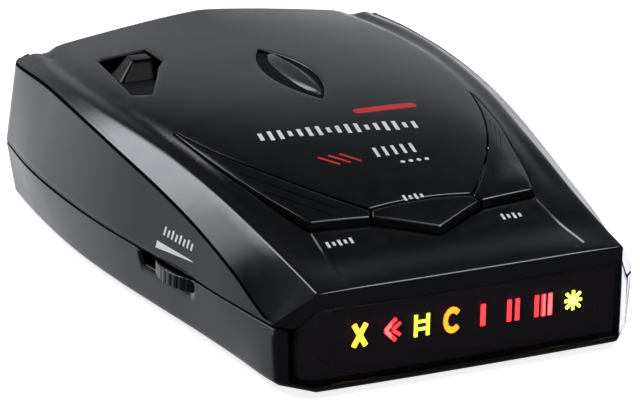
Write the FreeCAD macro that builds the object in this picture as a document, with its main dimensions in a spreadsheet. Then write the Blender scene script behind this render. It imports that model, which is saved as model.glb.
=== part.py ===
import FreeCAD
import Part
import math
import os
import re

import Sketcher
from FreeCAD import Vector

# Radar detector for the top of a car's dashboard.
# Frame: +X to the driver's right, +Y towards the road, +Z up.  Origin: the centre of the footprint, on
# the plane that the foot pads stand on.  Inside this file a sub-part is drawn in the case's own frame,
# where y runs back from the display and z runs up from the underside of the bottom cover, and its
# Placement then moves it to the frame above.

DOC = FreeCAD.newDocument("radar_detector")
SHEET = DOC.addObject("Spreadsheet::Sheet", "sizes")

STATIONS = ("nose", "corner", "key", "brow", "waist", "flank", "hip", "haunch", "tail")

SIZES = {
    # the case
    "case_length": 108, "foot_height": 0.6, "wall": 1.8, "parting_height": 10.5,
    "floor_edge_round": 1.4, "nose_hollow_inset": 4.68, "nose_bow": 0.4, "nose_half_width": 27.9,
    "corner_half_width": 33, "corner_setback": 5.8,
    # cross sections of the case: how far back, half widths, heights, and the shoulder's share of the rise
    "nose_y": 0, "nose_floor": 31.0, "nose_side": 32.2, "nose_groove": 10.9, "nose_ridge": 28.0,
    "nose_ridge_height": 17.2, "nose_crown": 17.4, "nose_rise": 0.72,
    "corner_y": 7, "corner_floor": 32.6, "corner_side": 33.2, "corner_groove": 11.4, "corner_ridge": 28.1,
    "corner_ridge_height": 18.4, "corner_crown": 19.4, "corner_rise": 0.72,
    "key_y": 20, "key_floor": 33.6, "key_side": 35.0, "key_groove": 15.8, "key_ridge": 28.9,
    "key_ridge_height": 20.7, "key_crown": 23.2, "key_rise": 0.72,
    "brow_y": 32, "brow_floor": 34.7, "brow_side": 36.3, "brow_groove": 18.9, "brow_ridge": 30.0,
    "brow_ridge_height": 22.9, "brow_crown": 25.8, "brow_rise": 0.7,
    "waist_y": 45, "waist_floor": 36.2, "waist_side": 38.0, "waist_groove": 21.6, "waist_ridge": 31.4,
    "waist_ridge_height": 24.7, "waist_crown": 28.0, "waist_rise": 0.66,
    "flank_y": 59, "flank_floor": 37.7, "flank_side": 39.7, "flank_groove": 23.8, "flank_ridge": 33.2,
    "flank_ridge_height": 26.1, "flank_crown": 29.4, "flank_rise": 0.6,
    "hip_y": 75, "hip_floor": 38.6, "hip_side": 40.6, "hip_groove": 25.4, "hip_ridge": 34.5,
    "hip_ridge_height": 26.8, "hip_crown": 30.1, "hip_rise": 0.55,
    "haunch_y": 92, "haunch_floor": 38.1, "haunch_side": 40.5, "haunch_groove": 26.0,
    "haunch_ridge": 34.6, "haunch_ridge_height": 26.9, "haunch_crown": 30.4, "haunch_rise": 0.48,
    "tail_y": 108, "tail_floor": 36.7, "tail_side": 38.9, "tail_groove": 25.3, "tail_ridge": 32.9,
    "tail_ridge_height": 26.3, "tail_crown": 30.5, "tail_rise": 0.42,
    "side_draft": 0.216, "shoulder_share": 0.73, "tail_corner": 1.4,
    # tools run past what they cut by this much, and plan tools reach from below the case to above it
    "past": 1, "wall_cut": 3, "fit_gap": 0.1, "trim_low": -5, "trim_high": 40, "trim_reach": 12,
    # display window
    "window_low": 1.5, "window_high": 14.4, "window_half": 30.6, "window_shoulder": 10.3,
    "window_thick": 1.6, "window_gap": 0.25, "window_end_across": 1.17, "window_end_back": 1.1,
    "window_bend_across": 0.64, "lip_half": 24.6, "lip_front": 2.2, "lip_back": 3.2, "lip_top": 2.3,
    # buttons
    "key_gap": 0.3, "key_thick": 1.6, "wing_tip_half": 28.4, "wing_tip_y": 55.5, "wing_heel_half": 9.6,
    "wing_heel_y": 18.9, "wing_front_half": 10.4, "wing_front_y": 17.0, "wing_corner_half": 20.8,
    "wing_corner_y": 18.6, "wing_inner_bow": 2.9, "wing_outer_bow": 1.2, "chevron_point_y": 11.8,
    "chevron_bow": 0.7, "stem_radius": 1.5, "wing_stem_x": 16, "wing_stem_y": 22.5,
    "chevron_stem_y": 15.6, "well_tip_across": 1.6, "well_tip_back": 12, "well_outer_bow": 0.8,
    "well_inner_bow": 1.7, "stem_foot": 8.0, "wing_stem_top": 22.2, "chevron_stem_top": 21.0,
    # crown lens
    "leaf_front": 56.5, "leaf_back": 82.4, "leaf_half_width": 4.0, "leaf_thick": 2.4, "leaf_rise": 0.5,
    "leaf_gap": 0.1,
    # bracket release
    "recess_left": -28.3, "recess_right": -17.0, "recess_front": 71.4, "recess_ramp": 81.2,
    "recess_back": 93.0, "recess_floor": 25, "recess_wall": 1.7, "recess_front_left_y": 73.6,
    "recess_front_x": -25.4, "recess_bend_x": -21.6, "recess_bend_y": 78.2, "recess_side_x": -17.5,
    "recess_side_y": 81.4, "recess_back_right_y": 92.4, "recess_back_x": -26.4, "recess_lip": 0.6,
    "release_left": -25,
    "release_width": 7, "release_front": 85.7, "release_depth": 5.6, "release_top": 29.4,
    "release_flange": 21.3, "release_flange_thick": 1.1, "release_flange_rim": 1.2, "neck_width": 2.6,
    "neck_lap": 0.5,
    "tooth_width": 5.2, "stem_depth": 3.2, "release_gap": 0.35, "stem_front": 87.2, "tooth_top": 17.8,
    "tooth_foot": 13.5, "spring_radius": 2.2, "spring_wire": 0.3, "spring_turns": 6,
    # bracket guide
    "guide_left": -30, "guide_width": 18, "guide_front": 79, "guide_low": 14.8, "guide_height": 4.0,
    "guide_wall": 1.0,
    # boards
    "board_low": 3.2, "board_thick": 1.6, "board_front": 11, "board_back": 103.5, "board_nose_half": 28.5,
    "board_tail_half": 33.5, "display_board_y": 8.6, "display_board_thick": 1.2,
    "board_waist_half": 30.5, "board_speaker_gap": 1.6, "board_gap": 0.4, "display_board_low": 2.4,
    "display_board_high": 13.6, "display_board_half": 26,
    # indicator row
    "cell_pitch": 5.6, "cell_count": 8, "cell_width": 4.6, "cell_height": 6.4, "cell_middle": 8.6,
    "baffle_front": 2.3, "baffle_half": 24.5, "baffle_low": 3.2, "baffle_high": 13.4,
    "mask_thick": 0.3, "lamp_width": 2.2, "lamp_height": 3.4, "lamp_depth": 1.6,
    # switches
    "switch_radius": 3.2, "switch_height": 1.6, "dome_radius": 2.0, "dome_height": 1.4,
    # volume control
    "wheel_x": -26.4, "wheel_y": 38, "wheel_radius": 11.9, "wheel_low": 7.9, "wheel_high": 10.2,
    "wheel_bore": 1.5, "wheel_flute_count": 36, "wheel_flute_radius": 0.4, "slot_front": 28.2,
    "slot_back": 46.8, "slot_low": 7.6, "slot_outer": -45, "slot_inner": -30, "pot_size": 9,
    "pot_high": 7.5, "shaft_radius": 1.5,
    "shaft_play": 0.05, "shaft_foot": 5.4,
    # loudspeaker
    "speaker_x": 19, "speaker_y": 40, "speaker_radius": 12, "speaker_height": 5.4, "magnet_radius": 7.5,
    "cone_radius": 10, "cone_high": 3.4, "cone_lift": 0.9, "cone_play": 0.05, "cone_thick": 0.4,
    "dish_depth": 2.6, "felt_thick": 0.4, "grille_slot": 1.2, "grille_pitch": 3, "grille_count": 7,
    "ring_height": 2.2, "ring_wall": 1.2,
    # microwave head
    "horn_back": 104.5, "horn_throat": 86, "horn_front": 66, "horn_half": 11, "horn_low": 6.4,
    "horn_high": 17.4, "horn_wall": 1.2, "guide_block_half": 6, "guide_block_low": 4.8,
    "guide_block_high": 15.6, "throat_low": 6.2, "throat_high": 14.6, "can_front": 46.5,
    "can_back": 64, "can_left": -16, "can_right": 5, "can_high": 9.2, "can_wall": 0.5,
    # laser sensing
    "laser_left": 17.5, "laser_width": 13, "laser_low": 12.5, "laser_height": 8.5, "laser_thick": 2.2,
    "laser_gap": 0.1, "laser_board_y": 99.4, "laser_board_high": 20, "crown_sensor_y": 68.6,
    "sensor_size": 6, "sensor_depth": 2.4, "riser_y": 68.8,
    "riser_half": 5, "riser_high": 24.0, "riser_low": 15.6,
    # jacks, on the right-hand side
    "jack_y": 60, "jack_width": 8, "jack_height": 6, "jack_inner": 27, "jack_outer": 39.0,
    "jack_radius": 1.8, "jack_depth": 9, "jack_pin": 0.5, "phone_y": 72, "phone_outer": 39.7,
    "jack_clearance": 2.6, "jack_nose": 3.4, "jack_nose_radius": 2.45, "pin_length": 8, "pin_root": 0.5,
    # fixings
    "boss_radius": 2.6, "screw_radius": 1.1, "screw_head": 2.1, "screw_head_high": 1.4, "screw_top": 14.5,
    "boss_front_x": 26.2, "boss_front_y": 16, "boss_back_x": 33, "boss_back_y": 97, "screw_sink": 0.3,
    "screw_play": 0.2,
    "standoff_radius": 2.4, "board_screw_radius": 0.9, "board_screw_head": 1.8,
    "board_screw_head_high": 1.1, "standoff_x": 25, "standoff_y": 80, "standoff_front_x": -12,
    "standoff_front_y": 14,
    "foot_radius": 4, "foot_x": 27, "foot_front_y": 25, "foot_back_y": 88, "foot_sink": 0.3,
    "label_front": 55, "label_back": 80, "label_half": 20, "label_thick": 0.15,
    # small parts on the boards
    "chip_x": -6, "chip_y": 36, "chip_size": 10, "chip_high": 1.6, "cap_x": 30, "cap_y": 84,
    "cap_radius": 3, "cap_height": 7, "crystal_x": -10, "crystal_y": 22, "crystal_radius": 1.6,
    "crystal_length": 8, "ribbon_half": 8, "ribbon_thick": 0.25, "ribbon_reach": 1.4,
    "ribbon_foot_y": 12,
    "ribbon_high": 11,
}


def fill_sheet():
    for row, (name, number) in enumerate(SIZES.items(), start=1):
        SHEET.set("A%d" % row, name)
        SHEET.set("B%d" % row, str(number))
        SHEET.setAlias("B%d" % row, name)
    DOC.recompute()


def bind(expression):
    """Turn plain size names into references to the sheet."""
    def reference(match):
        return "sizes." + match.group(0) if match.group(0) in SIZES else match.group(0)
    return re.sub(r"[a-z][a-z0-9_]*", reference, str(expression))


def size(expression):
    result = SHEET.evalExpression(bind(expression))
    return float(getattr(result, "Value", result))


def place_on_ground(piece, label):
    """Move a finished sub-part from the case's own frame to the detector's frame."""
    piece.Label = label
    for axis, shift in (("y", "-(case_length / 2)"), ("z", "foot_height")):
        path = "Placement.Base." + axis
        drawn = {name.lstrip("."): text for name, text in piece.ExpressionEngine}.get(path)
        piece.setExpression(path, bind(shift) if drawn is None else "(%s) + (%s)" % (drawn, bind(shift)))


def new_body(name):
    return DOC.addObject("PartDesign::Body", name)


def sketch_on(body, role, offset="0"):
    """A sketch on one of the body's origin planes, moved along the plane's normal."""
    sketch = body.newObject("Sketcher::SketchObject", body.Name + "_sketch")
    plane = [feature for feature in body.Origin.OriginFeatures if feature.Role == role][0]
    sketch.AttachmentSupport = [(plane, "")]
    sketch.MapMode = "FlatFace"
    sketch.setExpression("AttachmentOffset.Base.z", bind(offset))
    return sketch


def hold_point(sketch, edge, end, across, up):
    for kind, expression in (("DistanceX", across), ("DistanceY", up)):
        index = sketch.addConstraint(Sketcher.Constraint(kind, -1, 1, edge, end, size(expression)))
        sketch.setExpression("Constraints[%d]" % index, bind(expression))


def bowed_edge(begin, finish, bow):
    """The arc from begin to finish that stands off its chord by bow, to the right if bow is positive."""
    run = finish - begin
    outward = Vector(run.y, -run.x, 0).normalize()
    radius = (run.Length ** 2 / 4 + bow ** 2) / (2 * abs(bow))
    centre = (begin + finish) * 0.5 + outward * (bow - math.copysign(radius, bow))
    start, end = (begin, finish) if bow > 0 else (finish, begin)
    first = math.atan2(start.y - centre.y, start.x - centre.x)
    last = math.atan2(end.y - centre.y, end.x - centre.x)
    if last < first:
        last += 2 * math.pi
    return Part.ArcOfCircle(Part.Circle(centre, Vector(0, 0, 1), radius), first, last)


def outline(sketch, corners):
    """A closed outline: each corner is (across, up) or (across, up, bow of the edge that follows)."""
    points = [Vector(size(corner[0]), size(corner[1]), 0) for corner in corners]
    count = len(corners)
    ends = []
    for i, corner in enumerate(corners):
        begin, finish = points[i], points[(i + 1) % count]
        bow = size(corner[2]) if len(corner) == 3 else 0
        if bow:
            sketch.addGeometry(bowed_edge(begin, finish, bow), False)
        else:
            sketch.addGeometry(Part.LineSegment(begin, finish), False)
        ends.append((1, 2) if bow >= 0 else (2, 1))
    for i, corner in enumerate(corners):
        following = (i + 1) % count
        meeting = ("Coincident", i, ends[i][1], following, ends[following][0])
        sketch.addConstraint(Sketcher.Constraint(*meeting))
        hold_point(sketch, i, ends[i][0], corner[0], corner[1])
        if len(corner) == 3:
            sketch.addConstraint(Sketcher.Constraint("Radius", i, sketch.Geometry[i].Radius))
    return sketch


def circle(sketch, across, up, radius):
    centre = Vector(size(across), size(up), 0)
    edge = sketch.addGeometry(Part.Circle(centre, Vector(0, 0, 1), size(radius)), False)
    hold_point(sketch, edge, 3, across, up)
    index = sketch.addConstraint(Sketcher.Constraint("Radius", edge, size(radius)))
    sketch.setExpression("Constraints[%d]" % index, bind(radius))
    return sketch


def rectangle(sketch, left, low, right, high):
    return outline(sketch, [(left, low), (right, low), (right, high), (left, high)])


def pad(body, sketch, length, reverse=False):
    feature = body.newObject("PartDesign::Pad", body.Name + "_pad")
    feature.Profile = sketch
    feature.setExpression("Length", bind(length))
    feature.Reversed = reverse
    return feature


def pocket(body, sketch, length, reverse=False):
    feature = body.newObject("PartDesign::Pocket", body.Name + "_pocket")
    feature.Profile = sketch
    feature.setExpression("Length", bind(length))
    feature.Reversed = reverse
    return feature


def prism(name, corners, low, high):
    """A body padded upwards from a plan outline."""
    body = new_body(name)
    pad(body, outline(sketch_on(body, "XY_Plane", low), corners), "(%s) - (%s)" % (high, low))
    return body


def wall_prism(name, corners, front, back):
    """A body padded towards the road from an outline seen from the driver's seat."""
    body = new_body(name)
    sketch = outline(sketch_on(body, "XZ_Plane", "-(%s)" % front), corners)
    pad(body, sketch, "(%s) - (%s)" % (back, front), reverse=True)
    return body


def box(name, left, right, front, back, low, high):
    piece = DOC.addObject("Part::Box", name)
    for side, begin, finish in (("x", left, right), ("y", front, back), ("z", low, high)):
        extent = {"x": "Length", "y": "Width", "z": "Height"}[side]
        piece.setExpression(extent, bind("(%s) - (%s)" % (finish, begin)))
        piece.setExpression("Placement.Base." + side, bind(begin))
    return piece


TURN_TO = {"up": Vector(0, 0, 1), "road": Vector(0, 1, 0), "right": Vector(1, 0, 0)}


def rod(name, radius, length, x, y, low, way="up"):
    piece = DOC.addObject("Part::Cylinder", name)
    piece.setExpression("Radius", bind(radius))
    piece.setExpression("Height", bind(length))
    piece.Placement.Rotation = FreeCAD.Rotation(Vector(0, 0, 1), TURN_TO[way])
    for side, expression in (("x", x), ("y", y), ("z", low)):
        piece.setExpression("Placement.Base." + side, bind(expression))
    return piece


def join(name, pieces):
    result = DOC.addObject("Part::MultiFuse", name)
    result.Shapes = pieces
    return result


def cut(name, base, tools):
    result = DOC.addObject("Part::Cut", name)
    result.Base = base
    result.Tool = tools[0] if len(tools) == 1 else join(name + "_tools", tools)
    return result


def common(name, first, second):
    result = DOC.addObject("Part::Common", name)
    result.Base = first
    result.Tool = second
    return result


def group(name, pieces):
    result = DOC.addObject("Part::Compound", name)
    result.Links = pieces
    return result


def mirrored(corners):
    return [("-(%s)" % corner[0],) + tuple(corner[1:]) for corner in corners]


# ---------------------------------------------------------------- forms that several pieces share

def loft(name, sections):
    """A body lofted from the display to the road end; sections is a list of (station, corners)."""
    body = new_body(name)
    sketches = []
    for station, corners in sections:
        sketches.append(outline(sketch_on(body, "XZ_Plane", "-(%s)" % station), corners))
    feature = body.newObject("PartDesign::AdditiveLoft", name + "_loft")
    feature.Profile = sketches[0]
    feature.Sections = sketches[1:]
    feature.Ruled = True
    return body


def groove_half(name):
    return "({0}_side - side_draft * ({0}_groove - parting_height))".format(name)


def upper_corners(name, lowered="0"):
    """Half of the upper section, right side first, going up from the parting line to the crown."""
    shoulder_x = "(shoulder_share * %s_ridge)" % name
    shoulder_z = "({0}_ridge_height + {0}_rise * ({0}_crown - {0}_ridge_height))".format(name)
    right = [
        (name + "_side", "parting_height - (%s)" % lowered),
        (groove_half(name), name + "_groove - (%s)" % lowered),
        (name + "_ridge", name + "_ridge_height - (%s)" % lowered),
        (shoulder_x, shoulder_z + " - (%s)" % lowered),
    ]
    left = list(reversed(mirrored(right)))
    crown_bow = "({0}_crown - {1})".format(name, shoulder_z)
    right[-1] = right[-1] + (crown_bow,)
    return right + left


def upper_form(name, lowered="0"):
    return loft(name, [(each + "_y", upper_corners(each, lowered)) for each in STATIONS])


def hollow_station(name):
    return {"nose": "wall", "tail": "tail_y - wall"}.get(name, name + "_y")


def hollow_inset(name):
    return {"nose": "nose_hollow_inset"}.get(name, "wall")


def upper_hollow():
    sections = []
    for name in STATIONS:
        inset = hollow_inset(name)
        top = "{0}_ridge_height + {0}_rise * ({0}_crown - {0}_ridge_height) - wall".format(name)
        right = [
            ("%s_side - %s" % (name, inset), "parting_height - wall"),
            ("%s_side - %s" % (name, inset), "parting_height"),
            ("%s - %s" % (groove_half(name), inset), name + "_groove - wall / 2"),
            ("%s_ridge - wall / 2" % name, "%s_ridge_height - wall" % name),
            ("shoulder_share * %s_ridge" % name, top),
        ]
        if name == "nose":
            right[3] = ("nose_ridge - wall * 1.5", right[3][1])
        sections.append((hollow_station(name), right + list(reversed(mirrored(right)))))
    return loft("upper_hollow", sections)


def lower_form():
    sections = []
    for name in STATIONS:
        right = [
            (name + "_floor - floor_edge_round", "0"),
            (name + "_floor", "floor_edge_round"),
            (name + "_side", "parting_height"),
        ]
        sections.append((name + "_y", right + list(reversed(mirrored(right)))))
    return loft("lower_form", sections)


def lower_hollow():
    sections = []
    for name in STATIONS:
        inset = hollow_inset(name)
        right = [
            ("%s_floor - %s - wall / 3" % (name, inset), "wall"),
            ("%s_side - %s" % (name, inset), "parting_height"),
            ("%s_side - %s" % (name, inset), "parting_height + wall"),
        ]
        sections.append((hollow_station(name), right + list(reversed(mirrored(right)))))
    return loft("lower_hollow", sections)


def plan_trim():
    """Everything outside the case's plan: it bevels the four corners and bows the front."""
    reach = "corner_half_width + trim_reach"
    slope = "(corner_setback - nose_bow) / (corner_half_width - nose_half_width)"
    run_out = "nose_bow + (%s - nose_half_width) * %s" % (reach, slope)
    front = [
        ("-nose_half_width", "nose_bow", "nose_bow"),
        ("nose_half_width", "nose_bow"),
        (reach, run_out), (reach, "-trim_reach"), ("-(%s)" % reach, "-trim_reach"),
        ("-(%s)" % reach, run_out),
    ]
    nose = prism("nose_trim", front, "trim_low", "trim_high")
    corners = [
        ("tail_side - tail_corner", "case_length + past"), ("tail_side - tail_corner", "case_length"),
        ("tail_side + tail_corner", "case_length - 2 * tail_corner"),
        ("tail_side + tail_corner", "case_length + past"),
    ]
    right = prism("tail_trim_right", corners, "trim_low", "trim_high")
    left = prism("tail_trim_left", mirrored(corners), "trim_low", "trim_high")
    return [nose, right, left]


def window_opening(name, grow, front, back):
    """The window as seen from the driver's seat, grown by a clearance."""
    right = [
        ("window_half + %s" % grow, "window_low - %s" % grow),
        ("window_half + %s" % grow, "window_shoulder + %s" % grow),
        ("nose_half_width", "window_high + %s" % grow),
    ]
    return wall_prism(name, right + list(reversed(mirrored(right))), front, back)


def wing_corners(side, grow="0"):
    """Plan of one wing key; side is 1 on the right and -1 on the left.

    The two long edges meet at a point, so a well with a clearance all round runs on past the key's tip.
    """
    corners = [
        ("wing_front_half - %s" % grow, "wing_front_y - %s" % grow),
        ("wing_corner_half + %s" % grow, "wing_corner_y - %s" % grow,
         "wing_outer_bow + well_outer_bow * %s" % grow),
        ("wing_tip_half + well_tip_across * %s" % grow, "wing_tip_y + well_tip_back * %s" % grow,
         "-(wing_inner_bow + well_inner_bow * %s)" % grow),
        ("wing_heel_half - %s" % grow, "wing_heel_y + %s" % grow),
    ]
    return turned(corners, side)


def turned(corners, side):
    """The same outline, or its mirror image with the bows turned to match."""
    if side > 0:
        return corners
    return [(("-(%s)" % corner[0]), corner[1]) + tuple("-(%s)" % bow for bow in corner[2:])
            for corner in corners]


def chevron_corners(grow="0"):
    right = [
        ("0", "chevron_point_y - %s" % grow),
        ("wing_front_half - key_gap + %s" % grow, "wing_front_y - %s / 2" % grow),
        ("wing_heel_half - key_gap + %s" % grow, "wing_heel_y + %s" % grow),
    ]
    left = mirrored([right[2], right[1]])
    right[2] = right[2] + ("chevron_bow",)
    return right + left


def recess_corners():
    """Plan of the release button's recess, which narrows to a ramp in front."""
    return [("recess_left", "recess_front_left_y"), ("recess_front_x", "recess_front"),
            ("recess_bend_x", "recess_bend_y"), ("recess_side_x", "recess_side_y"),
            ("recess_right", "recess_back_right_y"), ("recess_back_x", "recess_back")]


def leaf_corners(grow="0"):
    bow = "leaf_half_width + %s" % grow
    return [("0", "leaf_front - %s" % grow, bow), ("0", "leaf_back + %s" % grow, bow)]


# ---------------------------------------------------------------- housing

BOSSES = [(side, along) for side in (-1, 1) for along in ("front", "back")]


def boss_place(side, along):
    return "%d * boss_%s_x" % (side, along), "boss_%s_y" % along


def top_cover(forms):
    """Upper shell: apron, ridges, side panels and the centre shield, with posts for the case screws."""
    posts = []
    for i, (side, along) in enumerate(BOSSES):
        x, y = boss_place(side, along)
        posts.append(rod("top_post_%d" % i, "boss_radius", "hip_crown - parting_height", x, y,
                         "parting_height"))
    tub = box("recess_tub", "recess_left - recess_wall", "recess_right + recess_wall",
              "recess_front - recess_wall", "recess_back + recess_wall",
              "recess_floor - recess_wall", "hip_crown")
    inner = common("top_inner", join("top_inner_blocks", posts + [tub]), forms["upper"])
    shell = cut("top_shell", forms["upper"], [forms["upper_hollow"]])
    blank = join("top_blank", [shell, inner])
    tools = forms["trim"] + [forms["opening"]]
    for side, name in ((1, "right"), (-1, "left")):
        tools.append(prism("wing_well_" + name, wing_corners(side, "key_gap"), "parting_height + wall * 2",
                           "tail_crown + past"))
    tools.append(prism("chevron_well", chevron_corners("key_gap * 2"), "parting_height + wall * 2",
                       "tail_crown + past"))
    tools.append(prism("leaf_hole", leaf_corners("leaf_gap"), "hip_crown - 2 * leaf_thick",
                       "tail_crown + past"))
    ramp = new_body("recess_scoop")
    side_view = outline(sketch_on(ramp, "YZ_Plane", "recess_left"), [
        ("recess_front", "hip_crown + past"), ("recess_front", "hip_ridge_height + recess_lip"),
        ("recess_ramp", "recess_floor"), ("recess_back", "recess_floor"),
        ("recess_back", "hip_crown + past")])
    pad(ramp, side_view, "recess_right - recess_left")
    plan = prism("recess_plan", recess_corners(), "parting_height", "trim_high")
    tools.append(common("recess_void", ramp, plan))
    tools.append(box("release_hole", "release_left - release_gap",
                     "release_left + release_width + release_gap", "release_front - release_gap",
                     "release_front + release_depth + release_gap",
                     "recess_floor - recess_wall - past", "recess_floor + past"))
    tools.append(box("tongue_slot", "guide_left", "guide_left + guide_width", "case_length - wall_cut",
                     "case_length + past", "guide_low", "guide_low + guide_height"))
    tools.append(box("laser_hole", "laser_left - laser_gap", "laser_left + laser_width + laser_gap",
                     "case_length - wall_cut", "case_length + past", "laser_low - laser_gap",
                     "laser_low + laser_height + laser_gap"))
    for i, (side, along) in enumerate(BOSSES):
        x, y = boss_place(side, along)
        tools.append(rod("top_thread_%d" % i, "screw_radius", "screw_top - parting_height + past", x, y,
                         "parting_height - past"))
    return cut("top_cover", blank, tools)


def release_shaft_hole(name):
    """The passage that the release button's stem slides in."""
    middle = "(release_left + release_width / 2)"
    return box(name, "%s - tooth_width / 2 - release_gap" % middle,
               "%s + tooth_width / 2 + release_gap" % middle, "stem_front - release_gap",
               "stem_front + stem_depth + release_gap", "guide_low - past",
               "guide_low + guide_height + past")


def bottom_cover(forms):
    """Lower tub: floor with the loudspeaker's slots, bosses, standoffs, thumbwheel slot and jack holes."""
    lugs = []
    holes = forms["trim"] + [forms["opening"]]
    for i, (side, along) in enumerate(BOSSES):
        x, y = boss_place(side, along)
        lugs.append(rod("bottom_boss_%d" % i, "boss_radius", "parting_height", x, y, "0"))
        holes.append(rod("boss_hole_%d" % i, "screw_radius + screw_play", "parting_height + 2 * past",
                         x, y, "-past"))
        holes.append(rod("head_hole_%d" % i, "screw_head + screw_play", "screw_head_high + screw_sink + past",
                         x, y, "-past"))
    for i, (x, y) in enumerate(STANDOFFS):
        lugs.append(rod("standoff_%d" % i, "standoff_radius", "board_low - wall / 2", x, y, "wall / 2"))
        holes.append(rod("standoff_hole_%d" % i, "board_screw_radius", "board_low", x, y, "wall / 2"))
    ring = cut("speaker_ring", rod("ring_outer", "speaker_radius + ring_wall", "ring_height", "speaker_x",
                                   "speaker_y", "wall / 2"),
               [rod("ring_inner", "speaker_radius + fit_gap", "ring_height + past", "speaker_x",
                    "speaker_y", "wall / 2 - past / 2")])
    lugs.append(ring)
    lugs.append(box("lip_rib", "-lip_half", "lip_half", "lip_front", "lip_back", "wall / 2", "lip_top"))
    shell = cut("bottom_shell", forms["lower"], [forms["lower_hollow"]])
    blank = common("bottom_blank", join("bottom_raw", [shell] + lugs), forms["lower"])
    for i in range(int(size("grille_count"))):
        step = "(%d * grille_pitch)" % (i - int(size("grille_count")) // 2)
        reach = "sqrt(cone_radius ^ 2 - %s ^ 2)" % step
        holes.append(box("grille_%d" % i, "speaker_x - %s" % reach, "speaker_x + %s" % reach,
                         "speaker_y + %s - grille_slot / 2" % step,
                         "speaker_y + %s + grille_slot / 2" % step, "-past", "wall + past"))
    holes.append(box("wheel_slot", "slot_outer", "slot_inner", "slot_front", "slot_back", "slot_low",
                     "parting_height + past"))
    for name, reach in (("jack", "jack_y"), ("phone", "phone_y")):
        holes.append(rod(name + "_port", "jack_clearance", "hip_side - jack_inner + past", "jack_inner",
                         reach, JACK_AXIS, "right"))
    for i, (x, y) in enumerate(FEET):
        holes.append(rod("foot_dish_%d" % i, "foot_radius + fit_gap", "foot_sink + past", x, y, "-past"))
    holes.append(box("label_dish", "-label_half", "label_half", "label_front", "label_back", "-past",
                     "label_thick"))
    return cut("bottom_cover", blank, holes)


JACK_AXIS = "board_low + board_thick + jack_height / 2"
STANDOFFS = [("-standoff_x", "standoff_y"), ("standoff_x", "standoff_y"),
             ("standoff_front_x", "standoff_front_y")]
FEET = [("%d * foot_x" % side, "foot_%s_y" % along) for side in (-1, 1) for along in ("front", "back")]


def display_window():
    """Dark front lens, bent round both corner bevels."""
    slope = "(corner_setback - nose_bow) / (corner_half_width - nose_half_width)"
    end_y = "nose_bow + (window_half - nose_half_width) * %s" % slope
    outer = [("-window_half", end_y), ("-nose_half_width", "nose_bow", "nose_bow"),
             ("nose_half_width", "nose_bow"), ("window_half", end_y)]
    inner = [("window_half - window_end_across", "%s + window_end_back" % end_y),
             ("nose_half_width - window_bend_across", "nose_bow + window_thick", "-(nose_bow)"),
             ("-nose_half_width + window_bend_across", "nose_bow + window_thick"),
             ("-window_half + window_end_across", "%s + window_end_back" % end_y)]
    band = prism("window_band", outer + inner, "window_low", "window_high")
    face = window_opening("window_face", "0", "-past", "corner_setback + past")
    return common("display_window", band, face)


def crown_lens(forms):
    """Leaf-shaped lens on the centreline; its top stands a little proud of the shield."""
    leaf = prism("leaf_body", leaf_corners(), "hip_crown - leaf_thick", "tail_crown + past")
    return common("crown_lens", leaf, forms["upper_raised"])


def laser_lens():
    body = new_body("laser_lens")
    face = rectangle(sketch_on(body, "XZ_Plane", "-(case_length - laser_thick)"), "laser_left", "laser_low",
                     "laser_left + laser_width", "laser_low + laser_height")
    pad(body, face, "laser_thick", reverse=True)
    return body


# ---------------------------------------------------------------- keys

def key(name, corners, forms, stem_x, stem_y, stem_top):
    """A key cap cut from the top cover's own surface, with a stem down to its switch dome."""
    column = prism(name + "_column", corners, "parting_height", "tail_crown + past")
    cap = cut(name + "_cap", common(name + "_full", column, forms["upper"]), [forms["upper_lowered"]])
    stem = rod(name + "_stem", "stem_radius", stem_top + " - stem_foot", stem_x, stem_y, "stem_foot")
    return join(name, [cap, stem])


def keys(forms):
    return {
        "left_wing_key": key("left_wing_key", wing_corners(-1), forms, "-wing_stem_x", "wing_stem_y",
                             "wing_stem_top"),
        "right_wing_key": key("right_wing_key", wing_corners(1), forms, "wing_stem_x", "wing_stem_y",
                              "wing_stem_top"),
        "chevron_key": key("chevron_key", chevron_corners(), forms, "0", "chevron_stem_y",
                           "chevron_stem_top"),
    }


def switch_places():
    return [("-wing_stem_x", "wing_stem_y"), ("0", "chevron_stem_y"), ("wing_stem_x", "wing_stem_y")]


def switch_bases():
    top = "board_low + board_thick"
    return group("switch_bases", [rod("switch_%d" % i, "switch_radius", "switch_height", x, y, top)
                                  for i, (x, y) in enumerate(switch_places())])


def truncated_cone(name, foot, head, height, x, y, low):
    piece = DOC.addObject("Part::Cone", name)
    for field, expression in (("Radius1", foot), ("Radius2", head), ("Height", height),
                              ("Placement.Base.x", x), ("Placement.Base.y", y), ("Placement.Base.z", low)):
        piece.setExpression(field, bind(expression))
    return piece


def switch_domes():
    """One rubber dome over each switch, just under the stem of its key."""
    low = "board_low + board_thick + switch_height"
    names = ("left_switch_dome", "chevron_switch_dome", "right_switch_dome")
    return {name: truncated_cone(name, "dome_radius", "dome_radius / 2", "dome_height", x, y, low)
            for name, (x, y) in zip(names, switch_places())}


# ---------------------------------------------------------------- bracket release

def release_button():
    """Block in the recess, with a neck that lets the bracket's tongue pass and a tooth that holds it."""
    middle = "(release_left + release_width / 2)"
    block = box("release_block", "release_left", "release_left + release_width", "release_front",
                "release_front + release_depth", "release_flange", "release_top")
    flange = box("release_flange_plate", "release_left - release_flange_rim",
                 "release_left + release_width + release_flange_rim", "release_front - release_flange_rim",
                 "release_front + release_depth + release_flange_rim", "release_flange",
                 "release_flange + release_flange_thick")
    neck = box("release_neck", "%s - neck_width / 2" % middle, "%s + neck_width / 2" % middle,
               "stem_front", "stem_front + stem_depth", "tooth_top - neck_lap", "release_flange + neck_lap")
    tooth = box("release_tooth", "%s - tooth_width / 2" % middle, "%s + tooth_width / 2" % middle,
                "stem_front", "stem_front + stem_depth", "tooth_foot", "tooth_top")
    return join("release_button", [block, flange, neck, tooth])


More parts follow.
